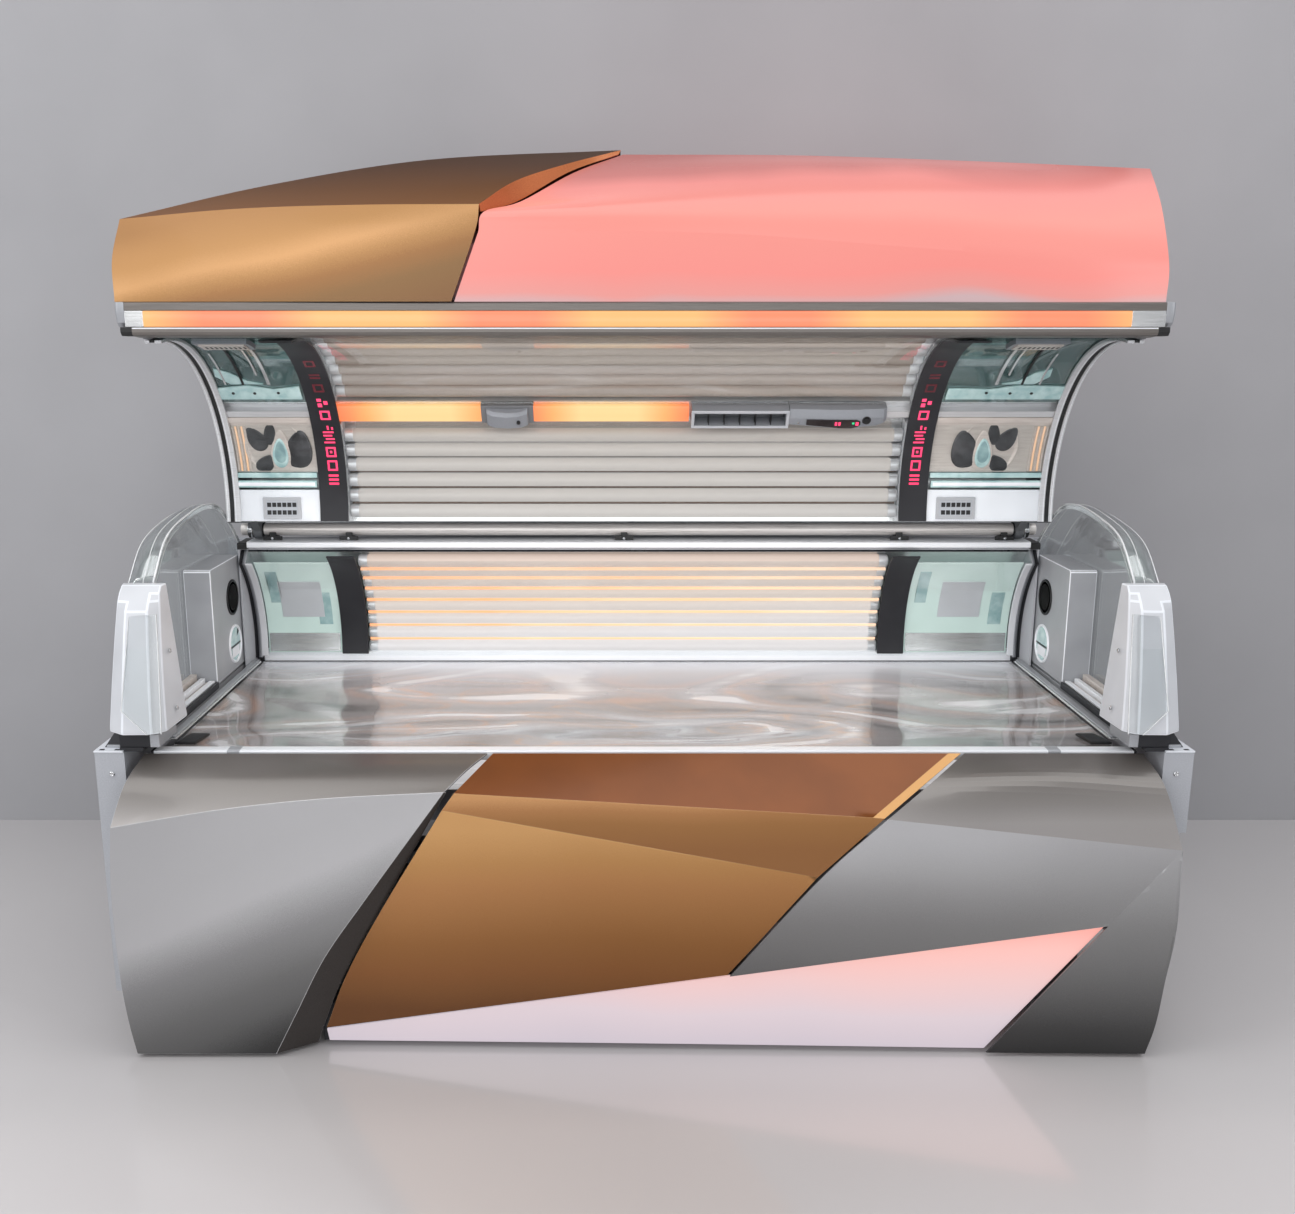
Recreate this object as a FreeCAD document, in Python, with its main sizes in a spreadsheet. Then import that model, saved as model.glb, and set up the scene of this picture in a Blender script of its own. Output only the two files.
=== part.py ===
import FreeCAD, Part
import math
import os
import Sketcher
from FreeCAD import Placement, Rotation, Vector

# Clamshell tanning bed, millimetres.  +X is to the right of someone who stands in front of the bench,
# +Y points to the back and +Z up.  The origin is on the floor, in the middle of the bed's footprint.
# The canopy is drawn open, at its upper stop.

doc = FreeCAD.newDocument("tanning_bed")

# ---------------------------------------------------------------- driving dimensions
SIZES = [
    ("front_rail_y", -500, "middle of the front rail"),
    ("rail_top", 680, "height of the bench rails"),
    ("rail_height", 22, "height of a bench rail"),
    ("rail_depth", 40, "front to back depth of a bench rail"),
    ("side_top", 690, "top of the side panels"),
    ("side_bottom", 110, "bottom edge of the side panels"),
    ("side_rear_y", 560, "rear edge of the side panels"),
    ("sheet", 3, "folded sheet metal"),
    ("column_depth", 85, "front to back depth of a front column"),
    ("column_width", 66, "width of a front column"),
    ("foot_radius", 30, "pad of a levelling foot"),
    ("foot_height", 60, "floor to the underside of the floor beams"),
    ("tube", 40, "side of the square frame tube"),
    ("beam_front_y", -490, "front floor beam"),
    ("beam_rear_y", 355, "rear floor beam"),
    ("skin", 6, "thickness of the front skin panels"),
    ("hinge_y", 225, "hinge axis"),
    ("hinge_z", 1070, "hinge axis"),
    ("shaft_radius", 17, "hinge tube"),
    ("hub_radius", 26, "hinge hub of the canopy"),
    ("hub_clearance", 0.06, "radial play of the hub on the hinge tube"),
    ("arc_y", -320, "middle of the canopy's inner curve"),
    ("arc_z", 1165, "middle of the canopy's inner curve"),
    ("canopy_pane_radius", 423, "inner face of the canopy pane"),
    ("pane", 4, "thickness of the clear panes"),
    ("lamp_radius", 18, "fluorescent lamp"),
    ("lamp_gap", 3, "pane to lamp, and lamp to reflector"),
    ("lamp_pitch", 42, "lamp to lamp along the curve"),
    ("reflector", 1.5, "reflector sheet"),
    ("frame_band", 45, "radial depth of a canopy end frame"),
    ("band_angle", 33, "middle of the band of units, above the horizontal"),
    ("frame_half", 1100, "middle to the outer face of a canopy end frame, from which the length follows"),
    ("frame_width", 20, "thickness of a canopy end frame"),
    ("left_zone", 325, "end frame to the left end of the lamp field"),
    ("right_zone", 410, "end frame to the right end of the lamp field"),
    ("dark_width", 72, "width of a charcoal cover"),
    ("wall_back", 279, "rearmost line of the rear pane's inner face"),
    ("wall_z", 740, "middle of the rear wall's curve"),
    ("wall_pane_radius", 324, "inner face of the rear pane"),
    ("wall_band", 48, "radial depth of the rear wall's end trims"),
    ("hood_reach", 42, "overhang of the hood past a canopy end frame"),
    ("hood_skin", 5, "thickness of the hood mouldings"),
    ("fascia_top", 1663, "upper edge of the silver fascia"),
    ("lip_bottom", 1591, "underside of the canopy lip"),
    ("fascia_y", -445, "front face of the fascia"),
    ("shell", 4, "thickness of the rear shell and the back cover"),
    ("lever", 120, "hinge axis to the strut stud"),
    ("lever_angle", -14, "strut lever below the horizontal, canopy open"),
    ("lever_inset", 60, "outer face of an end frame to the inner face of a strut lever"),
    ("lever_width", 22, "thickness of a strut lever"),
    ("strut_foot_y", 360, "lower pin of a strut"),
    ("strut_foot_z", 450, "lower pin of a strut"),
    ("strut_pin_radius", 6, "lower pin of a strut"),
    ("strut_tube_radius", 14, "strut cylinder"),
    ("strut_rod_radius", 5, "strut rod"),
    ("strut_tube_length", 400, "strut cylinder"),
    ("pod_width", 80, "width of an end pod"),
    ("cover_reach", 35, "end pod to the outer face of a side panel"),
    ("dome_wall", 3, "clear end dome"),
    ("fan_radius", 95, "cooling fan rotor"),
    ("fan_x", 520, "middle of a cooling fan"),
    ("fan_z", 520, "middle of a cooling fan"),
    ("vane_pitch", 40, "cell width of the air outlet"),
    ("vane_count", 5, "vanes that part the air outlet"),
    ("button_radius", 9, "push button of the control unit"),
    ("button_gap", 0.4, "play around the push button"),
    ("gland_radius", 16, "cable gland"),
    ("gland_bore", 9, "cable gland bore radius"),
    ("gland_length", 36, "cable gland"),
]

sheet = doc.addObject("Spreadsheet::Sheet", "sizes")
for row, (alias, value, meaning) in enumerate(SIZES, start=1):
    sheet.set("A%d" % row, meaning)
    sheet.set("B%d" % row, str(value))
    sheet.setAlias("B%d" % row, alias)
doc.recompute()


class Size:
    """A length that knows its value and the sheet formula that it comes from."""

    def __init__(self, value, formula=None):
        self.value = float(value)
        self.formula = formula or repr(float(value))

    def join(self, other, sign, value):
        return Size(value, "(%s %s %s)" % (self.formula, sign, other.formula))

    def __add__(self, other):
        other = as_size(other)
        return self.join(other, "+", self.value + other.value)

    def __sub__(self, other):
        other = as_size(other)
        return self.join(other, "-", self.value - other.value)

    def __mul__(self, other):
        other = as_size(other)
        return self.join(other, "*", self.value * other.value)

    def __truediv__(self, other):
        other = as_size(other)
        return self.join(other, "/", self.value / other.value)

    def __radd__(self, other):
        return as_size(other) + self

    def __rsub__(self, other):
        return as_size(other) - self

    def __rmul__(self, other):
        return as_size(other) * self

    def __neg__(self):
        return Size(-self.value, "(0 - %s)" % self.formula)


def as_size(number):
    return number if isinstance(number, Size) else Size(number)


class Sheet:
    """Reads a driving dimension by its name: S.rail_top."""

    def __getattr__(self, alias):
        return Size(sheet.get(alias), "sizes.%s" % alias)


S = Sheet()


def val(number):
    return as_size(number).value


def cosine(angle):
    angle = as_size(angle)
    return Size(math.cos(math.radians(angle.value)), "cos(%s)" % angle.formula)


def sine(angle):
    angle = as_size(angle)
    return Size(math.sin(math.radians(angle.value)), "sin(%s)" % angle.formula)


def drive(obj, **sizes):
    """Binds properties of an object to the sheet."""
    for name, number in sizes.items():
        number = as_size(number)
        setattr(obj, name, number.value)
        if "sizes." in number.formula:
            obj.setExpression(name, number.formula)


def place(obj, x, y, z, rotation=Rotation()):
    obj.Placement = Placement(Vector(val(x), val(y), val(z)), rotation)
    for axis, number in zip("xyz", (x, y, z)):
        number = as_size(number)
        if "sizes." in number.formula:
            obj.setExpression("Placement.Base.%s" % axis, number.formula)


# ---------------------------------------------------------------- building blocks
PIECES = []
count = {"n": 0}


def new_name(stem):
    count["n"] += 1
    return "%s_%03d" % (stem, count["n"])


def piece(obj, label):
    """Takes an object into the bed as a piece of its own."""
    obj.Label = label
    PIECES.append(obj)
    return obj


def box(x0, x1, y0, y1, z0, z1):
    """A block between two corners."""
    obj = doc.addObject("Part::Box", new_name("block"))
    x0, x1, y0, y1, z0, z1 = [as_size(number) for number in (x0, x1, y0, y1, z0, z1)]
    drive(obj, Length=x1 - x0, Width=y1 - y0, Height=z1 - z0)
    place(obj, x0, y0, z0)
    return obj


ALONG_X = Rotation(Vector(1, 1, 1), 120)
ALONG_Y = Rotation(Vector(1, 0, 0), -90)


def rod_x(radius, x0, x1, y, z, sector=360.0, start=0.0):
    """A round bar along X, or a sector of one that starts at an angle above +Y."""
    obj = doc.addObject("Part::Cylinder", new_name("bar"))
    drive(obj, Radius=radius, Height=as_size(x1) - x0, Angle=sector)
    place(obj, x0, y, z, Rotation(Vector(1, 0, 0), val(start)) * ALONG_X)
    return obj


def rod_y(radius, x, y0, y1, z):
    obj = doc.addObject("Part::Cylinder", new_name("bar"))
    drive(obj, Radius=radius, Height=as_size(y1) - y0)
    place(obj, x, y0, z, ALONG_Y)
    return obj


def rod_z(radius, x, y, z0, z1):
    obj = doc.addObject("Part::Cylinder", new_name("bar"))
    drive(obj, Radius=radius, Height=as_size(z1) - z0)
    place(obj, x, y, z0)
    return obj


def cut(base, *tools):
    for tool in tools:
        obj = doc.addObject("Part::Cut", new_name("cut"))
        obj.Base = base
        obj.Tool = tool
        base = obj
    return base


def fuse(*parts):
    obj = doc.addObject("Part::MultiFuse", new_name("union"))
    obj.Shapes = list(parts)
    obj.Refine = True
    return obj


def common(base, tool):
    obj = doc.addObject("Part::MultiCommon", new_name("overlap"))
    obj.Shapes = [base, tool]
    return obj


def group(*parts):
    """Several like solids that are kept together as one piece."""
    obj = doc.addObject("Part::Compound", new_name("set"))
    obj.Links = list(parts)
    return obj


def mirrored(source):
    """The same solid on the other side of the bed's middle."""
    obj = doc.addObject("Part::Mirroring", new_name("mirror"))
    obj.Source = source
    obj.Normal = Vector(1, 0, 0)
    obj.Base = Vector(0, 0, 0)
    return obj


def both_sides(*sources):
    solids = []
    for source in sources:
        solids += [source, mirrored(source)]
    return solids


def curved_sheet(inner, outer, x0, x1, start, stop, y, z):
    """A sheet bent about a line along X, between two angles above +Y."""
    sector = as_size(stop) - start
    whole = rod_x(outer, x0, x1, y, z, sector, start)
    core = rod_x(inner, as_size(x0) - 5, as_size(x1) + 5, y, z)
    return cut(whole, core)


PLANES = {"YZ": "YZ_Plane", "XZ": "XZ_Plane", "XY": "XY_Plane"}


def sketch_on(body, plane, points):
    """A closed profile with every corner bound to the sheet."""
    sketch = body.newObject("Sketcher::SketchObject", new_name("profile"))
    support = [item for item in body.Origin.OriginFeatures if item.Role == PLANES[plane]][0]
    sketch.AttachmentSupport = [(support, "")]
    sketch.MapMode = "FlatFace"
    flat = [Vector(val(across), val(up), 0) for across, up in points]
    total = len(flat)
    for i in range(total):
        sketch.addGeometry(Part.LineSegment(flat[i], flat[(i + 1) % total]))
    for i in range(total):
        sketch.addConstraint(Sketcher.Constraint("Coincident", i, 2, (i + 1) % total, 1))
        for kind, number in zip(("DistanceX", "DistanceY"), points[i]):
            number = as_size(number)
            index = sketch.addConstraint(Sketcher.Constraint(kind, i, 1, number.value))
            if "sizes." in number.formula:
                sketch.setExpression("Constraints[%d]" % index, number.formula)
    return sketch


def extrusion(points, length, start=0, plane="YZ"):
    """A body padded from a profile: along +X from YZ, along +Z from XY."""
    body = doc.addObject("PartDesign::Body", new_name("body"))
    sketch = sketch_on(body, plane, points)
    pad = body.newObject("PartDesign::Pad", new_name("pad"))
    pad.Profile = sketch
    drive(pad, Length=length)
    if plane == "YZ":
        place(body, start, 0, 0)
    else:
        place(body, 0, 0, start)
    return body


def turned(points, axis_rotation, x, y, z):
    """A body turned about its own upright axis from a profile of (radius, height) corners."""
    body = doc.addObject("PartDesign::Body", new_name("body"))
    sketch = sketch_on(body, "XZ", points)
    spin = body.newObject("PartDesign::Revolution", new_name("turning"))
    spin.Profile = sketch
    spin.ReferenceAxis = (sketch, ["V_Axis"])
    spin.Angle = 360
    place(body, x, y, z, axis_rotation)
    return body


def feature(shape, stem="form"):
    obj = doc.addObject("Part::Feature", new_name(stem))
    obj.Shape = shape
    return obj


def faceted(facets, depth, corner):
    """A moulding made of flat facets: each facet of listed corners is thickened along depth."""
    solids = []
    for listed in facets:
        points = [corner(*place_of) for place_of in listed]
        for i in range(1, len(points) - 1):
            wire = Part.makePolygon([points[0], points[i], points[i + 1], points[0]])
            solids.append(Part.Face(wire).extrude(depth))
    shape = solids[0].fuse(solids[1:]) if len(solids) > 1 else solids[0]
    return shape.removeSplitter()


# ---------------------------------------------------------------- lengths that follow from the canopy's
FRAME_INSIDE = S.frame_half - S.frame_width
FRONT_RAIL_HALF = S.frame_half + 10
REAR_RAIL_HALF = S.frame_half - 15
BEAM_HALF = FRAME_INSIDE
LEVER_IN = S.frame_half - S.lever_inset
LEVER_OUT = LEVER_IN + S.lever_width
POD_INNER = S.frame_half + 5
POD_OUTER = POD_INNER + S.pod_width
BENCH_HALF = POD_OUTER + S.cover_reach
BACK_SHELL_HALF = S.frame_half - 5
LAMPS_LEFT = S.left_zone - S.frame_half
LAMPS_RIGHT = S.frame_half - S.right_zone
WALL_Y = S.wall_back - S.wall_pane_radius


def bench_corner(x, y, z):
    """A corner of the bench's skin, listed for a rail 500 in front of the middle and 680 high."""
    return Vector(x * val(S.frame_half) / 1100, y + val(S.front_rail_y) + 500, z * val(S.rail_top) / 680)


def hood_corner(x, y, z):
    """A corner of the hood, listed for a fascia with its top 1663 high and 445 in front of the middle."""
    return Vector(x * val(S.frame_half) / 1100, y + val(S.fascia_y) + 445, z + val(S.fascia_top) - 1663)


# ---------------------------------------------------------------- bench frame
RAIL_BOTTOM = S.rail_top - S.rail_height
BEAM_TOP = S.foot_height + S.tube
HALF_TUBE = S.tube / 2
POST_X = BEAM_HALF - 80
COVER_TOP = Size(1022)
SEAL_TOP = COVER_TOP + 18
LAMP_R = S.lamp_radius
BED_PANE = 8
BED_DIP = 42
BED_LAMP_Z = S.rail_top - 6 - BED_DIP - BED_PANE - S.lamp_gap - LAMP_R - 12
TRAY_Z = BED_LAMP_Z - LAMP_R - 4 - S.reflector


def tube(x0, x1, y0, y1, z0, z1, along):
    """The outside of a square tube and its bore, which runs half a tube further at both ends."""
    bore = []
    for axis, (low, high) in zip("xyz", ((x0, x1), (y0, y1), (z0, z1))):
        inset = -HALF_TUBE if axis == along else S.sheet
        bore += [low + inset, high - inset]
    return box(x0, x1, y0, y1, z0, z1), box(*bore)


def make_floor_frame():
    """Two long beams and three cross beams, six posts, gussets and the lower strut pins."""
    front, rear = S.beam_front_y, S.beam_rear_y
    tubes = []
    for y in (front, rear):
        tubes.append(tube(-BEAM_HALF, BEAM_HALF, y - HALF_TUBE, y + HALF_TUBE, S.foot_height, BEAM_TOP, "x"))
    gussets = []
    for x in (-POST_X, as_size(0), POST_X):
        x0, x1 = x - HALF_TUBE, x + HALF_TUBE
        tubes.append(tube(x0, x1, front + HALF_TUBE, rear - HALF_TUBE, S.foot_height, BEAM_TOP, "y"))
        tubes.append(tube(x0, x1, front + HALF_TUBE, rear - HALF_TUBE, TRAY_Z - S.tube, TRAY_Z, "y"))
        tubes.append(tube(x0, x1, front - HALF_TUBE, front + HALF_TUBE, BEAM_TOP, RAIL_BOTTOM, "z"))
        tubes.append(tube(x0, x1, rear - HALF_TUBE, rear + HALF_TUBE, BEAM_TOP, COVER_TOP - S.shell, "z"))
        gussets.append(box(x0, x1, rear - HALF_TUBE - 95, rear - HALF_TUBE, COVER_TOP - S.shell - 36,
                           COVER_TOP - S.shell))
    frame = cut(fuse(*[outside for outside, _ in tubes]), fuse(*[bore for _, bore in tubes]))
    pin = rod_x(S.strut_pin_radius, POST_X + HALF_TUBE, STRUT_X + 14, S.strut_foot_y, S.strut_foot_z)
    lug = box(POST_X + HALF_TUBE, POST_X + HALF_TUBE + 26, S.strut_foot_y - 15, S.strut_foot_y + 15,
              S.strut_foot_z - 15, S.strut_foot_z + 15)
    return piece(fuse(frame, *gussets, *both_sides(pin, lug)), "floor_frame")


def make_levelling_feet():
    """A pad, a neck and a threaded stem under each corner and the middle of the beams."""
    profile = [(0, 0), (S.foot_radius, 0), (S.foot_radius, 8), (S.foot_radius - 8, 14), (9, 16), (9, S.foot_height),
               (0, S.foot_height)]
    feet = []
    for x in (60 - BEAM_HALF, as_size(0), BEAM_HALF - 60):
        for y in (S.beam_front_y, S.beam_rear_y):
            feet.append(turned(profile, Rotation(), x, y, 0))
    return piece(group(*feet), "levelling_feet")


COLUMN_FRONT = as_size(-560)
SIDE_FACE = BENCH_HALF - 15


def side_panel(side, column_bottom, label):
    """A folded end cover with flanges, and a box column at its front corner."""
    top = S.side_top
    plate = box(SIDE_FACE - S.sheet, SIDE_FACE, COLUMN_FRONT + S.column_depth, S.side_rear_y, S.side_bottom, top)
    flange_top = box(POD_OUTER - 0.7, SIDE_FACE, COLUMN_FRONT + S.column_depth, S.side_rear_y, top - S.sheet, top)
    flange_low = box(POD_OUTER - 0.7, SIDE_FACE, COLUMN_FRONT + S.column_depth, S.side_rear_y, S.side_bottom,
                     S.side_bottom + S.sheet)
    outer = box(BENCH_HALF - S.column_width, BENCH_HALF, COLUMN_FRONT, COLUMN_FRONT + S.column_depth,
                column_bottom, top)
    hollow = box(BENCH_HALF - S.column_width + S.sheet, BENCH_HALF - S.sheet, COLUMN_FRONT + S.sheet,
                 COLUMN_FRONT + S.column_depth - S.sheet, as_size(column_bottom) - 5, top - S.sheet)
    strip = box(BENCH_HALF - S.column_width, SIDE_FACE, COLUMN_FRONT, COLUMN_FRONT + S.sheet, S.side_bottom, top)
    strip_side = box(SIDE_FACE - S.sheet, SIDE_FACE, COLUMN_FRONT, COLUMN_FRONT + S.column_depth, S.side_bottom,
                     as_size(column_bottom) + 5)
    whole = fuse(plate, flange_top, flange_low, cut(outer, hollow), strip, strip_side)
    return piece(whole if side > 0 else mirrored(whole), label)


# ---------------------------------------------------------------- front skin
SKIN_TOP_Y = -526.3
SKIN_TOP_Z = 676
SKIRT_FRONT = S.front_rail_y - 96


def plane_y(a, b, c):
    """Gives y on the plane through three corners, for a place (x, z)."""
    a, b, c = Vector(*a), Vector(*b), Vector(*c)
    normal = (b - a).cross(c - a)

    def at(x, z):
        return (x, a.y - (normal.x * (x - a.x) + normal.z * (z - a.z)) / normal.y, z)
    return at


def quads(first, second):
    """Facets between two rows of corners."""
    strips = []
    for i in range(len(first) - 1):
        strips.append([first[i], first[i + 1], second[i + 1]])
        strips.append([first[i], second[i + 1], second[i]])
    return strips


def side_return(edge, back_x, back_y, inward):
    """The return from a skin's outer edge to the column behind it."""
    back = [(back_x, back_y, corner[2]) for corner in edge]
    return faceted(quads(edge, back), Vector(inward, 0, 0), bench_corner)


def make_front_panel_left():
    skin = val(S.skin)
    x_edge = -1160
    shoulder = [(x_edge + 29, -565, 655), (x_edge + 19, -620, 613)]
    outer = [(x_edge + 3, -660, 553), (x_edge - 3, -672, 400), (x_edge, -672, 209), (x_edge + 8, -668, 95),
             (x_edge + 18, -660, 10)]
    inner = [(-452, -652, 597), (-608, -658, 391), (-706, -665, 251), (-775, -665, 117), (-829, -660, 10)]
    recess = [(-448, -640, 590), (-596, -626, 341), (-679, -622, 183), (-729, -617, 52), (-744, -612, 10)]
    ridge = [outer[0], (-915, -658, 593), (-691, -650, 617), (-423, -637, 630)]
    top = [(x_edge + 38, SKIN_TOP_Y, SKIN_TOP_Z), (-915, SKIN_TOP_Y, SKIN_TOP_Z), (-691, SKIN_TOP_Y, SKIN_TOP_Z),
           (-345, SKIN_TOP_Y, SKIN_TOP_Z)]
    facets = quads(outer, inner) + quads(inner, recess)
    facets += [[ridge[i], ridge[i + 1], inner[0]] for i in range(3)]
    facets += [[top[0], top[1], ridge[1]], [top[0], ridge[1], shoulder[0]], [shoulder[0], ridge[1], shoulder[1]],
               [shoulder[1], ridge[1], ridge[0]]]
    facets += quads(top[1:], ridge[1:])
    shape = faceted(facets, Vector(0, skin, 0), bench_corner)
    shape = shape.fuse(side_return(outer, x_edge + 12, -563, skin)).removeSplitter()
    return piece(feature(shape), "front_panel_left")


GOLD_LEFT = (-441, -643, 586)
GOLD_RIGHT = (377, -661, 438)
GOLD_LOW = (-722, -620, 52)


def make_front_panel_centre():
    """Three flat facets: a sloping top band, a narrow wedge and the large lower face."""
    low = plane_y(GOLD_LEFT, GOLD_RIGHT, GOLD_LOW)
    top = [(-339, SKIN_TOP_Y, SKIN_TOP_Z), (712, SKIN_TOP_Y, SKIN_TOP_Z)]
    crease = [(-415, -630, 622), (519, -652, 571)]
    facets = quads(top, crease) + quads(crease, [GOLD_LEFT, GOLD_RIGHT])
    face = [GOLD_LEFT, GOLD_RIGHT, low(186, 195), low(-554, 77), GOLD_LOW, low(-671, 183), low(-587, 341)]
    facets.append(face)
    return piece(feature(faceted(facets, Vector(0, val(S.skin), 0), bench_corner)), "front_panel_centre")


def make_front_panel_right():
    skin = val(S.skin)
    x_edge = 1160
    ridge_left = (526, -655, 572)
    ridge_right = (x_edge + 4, -668, 504)
    wedge_tip = (1018, -668, 326)
    face = plane_y(ridge_left, ridge_right, wedge_tip)
    outer = [ridge_right, (x_edge + 5, -675, 323), (x_edge - 7, -673, 199), (x_edge - 16, -668, 88),
             (x_edge - 30, -660, 10)]
    top = [(720, SKIN_TOP_Y, SKIN_TOP_Z), (x_edge - 38, SKIN_TOP_Y, SKIN_TOP_Z)]
    shoulder = (x_edge - 20, -610, 614)
    facets = [[top[0], top[1], shoulder], [top[0], shoulder, ridge_right], [top[0], ridge_right, ridge_left]]
    facets.append([ridge_left, ridge_right, wedge_tip, face(192, 196), face(384, 440)])
    facets += [[wedge_tip, outer[i], outer[i + 1]] for i in range(4)]
    facets.append([wedge_tip, outer[4], (774, -655, 10)])
    shape = faceted(facets, Vector(0, skin, 0), bench_corner)
    shape = shape.fuse(side_return(outer, x_edge - 12, -563, -skin)).removeSplitter()
    return piece(feature(shape), "front_panel_right")


def make_front_light_panel():
    """The translucent wedge that is lit from behind."""
    face = plane_y((-727, -611, 43), (1004, -655, 316), (760, -640, 14))
    corners = [face(-727, 43), face(-722, 14), face(760, 14), face(1004, 316)]
    panel = faceted([corners], Vector(0, 8, 0), bench_corner)
    lugs = []
    for x in (-500, 0, 560):
        front = bench_corner(*face(x, 35)) + Vector(0, 4, -15)
        lugs.append(Part.makeBox(30, val(SKIRT_FRONT) - front.y, 30, front))
    return piece(feature(panel.fuse(lugs)), "front_light_panel")


def make_toe_skirt():
    skirt = box(-735, 770, SKIRT_FRONT, SKIRT_FRONT + 4, 6, S.foot_height + 40)
    flange = box(-735, 770, SKIRT_FRONT + 4, S.beam_front_y - HALF_TUBE, S.foot_height + 20, S.foot_height + 24)
    return piece(fuse(skirt, flange), "toe_skirt")


# ---------------------------------------------------------------- bench rails, pane and lamps
RAIL_FRONT = S.front_rail_y - S.rail_depth / 2
RAIL_BACK = S.front_rail_y + S.rail_depth / 2
REAR_RAIL_Y = Size(285)
PANE_EDGE = S.rail_top - 6


def rail_profile(y0, y1):
    top = S.rail_top
    return [(y0, RAIL_BOTTOM), (y0, top - 4), (y0 + 4, top), (y1 - 4, top), (y1, top - 4), (y1, RAIL_BOTTOM)]


def make_front_rail():
    return piece(extrusion(rail_profile(RAIL_FRONT, RAIL_BACK), FRONT_RAIL_HALF * 2, -FRONT_RAIL_HALF),
                 "front_rail")


WALL_START = -9
WALL_STOP = 49.5
WALL_OUTER = S.wall_pane_radius + S.wall_band


def make_rear_wall_trims():
    """The rear rail, the flange under the pane's rear edge, the curved end trims and the top seal strip."""
    rail = extrusion(rail_profile(REAR_RAIL_Y, REAR_RAIL_Y + S.rail_depth), REAR_RAIL_HALF * 2, -REAR_RAIL_HALF)
    flange = box(-REAR_RAIL_HALF, REAR_RAIL_HALF, REAR_RAIL_Y - 32, REAR_RAIL_Y, RAIL_BOTTOM, RAIL_BOTTOM + 4)
    seal = box(-S.frame_half, S.frame_half, 170, 258, COVER_TOP, SEAL_TOP)
    x0, x1 = S.frame_half - S.frame_width, S.frame_half
    trim = curved_sheet(S.wall_pane_radius, WALL_OUTER, x0, x1, WALL_START, WALL_STOP - 1.4, WALL_Y, S.wall_z)
    foot = box(REAR_RAIL_HALF - 25, x1, 292, 320, S.rail_top, S.rail_top + 14)
    return piece(group(rail, flange, seal, *both_sides(fuse(trim, foot))), "rear_wall_trims")


def make_bed_pane():
    """Clear acrylic, dished for the body: deeper at the shoulders and hips than at the waist."""
    y0, y1 = val(RAIL_BACK) + 0.3, val(REAR_RAIL_Y) - 0.3
    half = val(REAR_RAIL_HALF) - 5
    rows = []
    for i in range(13):
        along = i / 12.0
        x = -half + 2 * half * along
        ends = math.sin(math.pi * along) ** 0.5 if 0 < i < 12 else 0.0
        swell = 0.82 + 0.18 * math.cos(2 * math.pi * 2.5 * (along - 0.5))
        row = []
        for j in range(9):
            across = j / 8.0
            dish = math.sin(math.pi * across) ** 1.4 if 0 < j < 8 else 0.0
            row.append(Vector(x, y0 + (y1 - y0) * across, val(PANE_EDGE) - BED_DIP * dish * swell * ends))
        rows.append(row)
    surface = Part.BSplineSurface()
    surface.interpolate(rows)
    return piece(feature(surface.toShape().extrude(Vector(0, 0, -BED_PANE))), "bed_pane")


WALL_LAMP_RADIUS = S.wall_pane_radius + S.pane + S.lamp_gap + LAMP_R
BED_LAMP_HALF = S.frame_half - 100
BED_LAMP_COUNT = 13


def lamp_angles(radius, first, last):
    """As many lamps as fit a lamp's pitch apart, between two angles."""
    turn = math.degrees(val(S.lamp_pitch) / val(radius))
    return [first + turn * i for i in range(int((last - first) / turn) + 1)]


def lamps_on_arc(radius, y, z, angles):
    lamps = []
    for angle in angles:
        lamps.append(rod_x(LAMP_R, LAMPS_LEFT, LAMPS_RIGHT, y + radius * cosine(angle), z + radius * sine(angle)))
    return lamps


def make_bench_lamps():
    """Fluorescent tubes: a flat row under the bed pane and a curved row behind the rear pane."""
    first, last = RAIL_BACK + 40, REAR_RAIL_Y - 45
    step = (last - first) / (BED_LAMP_COUNT - 1)
    lamps = []
    for i in range(BED_LAMP_COUNT):
        lamps.append(rod_x(LAMP_R, -BED_LAMP_HALF, BED_LAMP_HALF, first + step * i, BED_LAMP_Z))
    angles = lamp_angles(WALL_LAMP_RADIUS, WALL_START + 5.5, WALL_STOP - 4.4)
    lamps += lamps_on_arc(WALL_LAMP_RADIUS, WALL_Y, S.wall_z, angles)
    return piece(group(*lamps), "bench_lamps")


def make_bench_lamp_holders():
    holder = box(BED_LAMP_HALF, BED_LAMP_HALF + 16, RAIL_BACK + 16, REAR_RAIL_Y - 20, BED_LAMP_Z - LAMP_R - 4,
                 BED_LAMP_Z + LAMP_R)
    return piece(group(*both_sides(holder)), "bench_lamp_holders")


def make_bench_reflector():
    tray = box(-REAR_RAIL_HALF + 15, REAR_RAIL_HALF - 15, RAIL_BACK + 11, REAR_RAIL_Y - 12,
               TRAY_Z, TRAY_Z + S.reflector)
    inner = WALL_LAMP_RADIUS + LAMP_R + S.lamp_gap
    back = curved_sheet(inner, inner + S.reflector, 20 - S.frame_half, S.frame_half - 20, WALL_START + 2,
                        WALL_STOP - 3, WALL_Y, S.wall_z)
    return piece(group(tray, back), "bench_reflector")


def make_rear_pane():
    pane = curved_sheet(S.wall_pane_radius, S.wall_pane_radius + S.pane, S.frame_width + 2 - S.frame_half,
                        S.frame_half - S.frame_width - 2, WALL_START + 1, WALL_STOP, WALL_Y, S.wall_z)
    return piece(pane, "rear_pane")


def dark_cover_spans():
    """The two places where the lamp ends are covered."""
    return ((LAMPS_LEFT - S.dark_width, LAMPS_LEFT), (LAMPS_RIGHT, LAMPS_RIGHT + S.dark_width))


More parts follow.
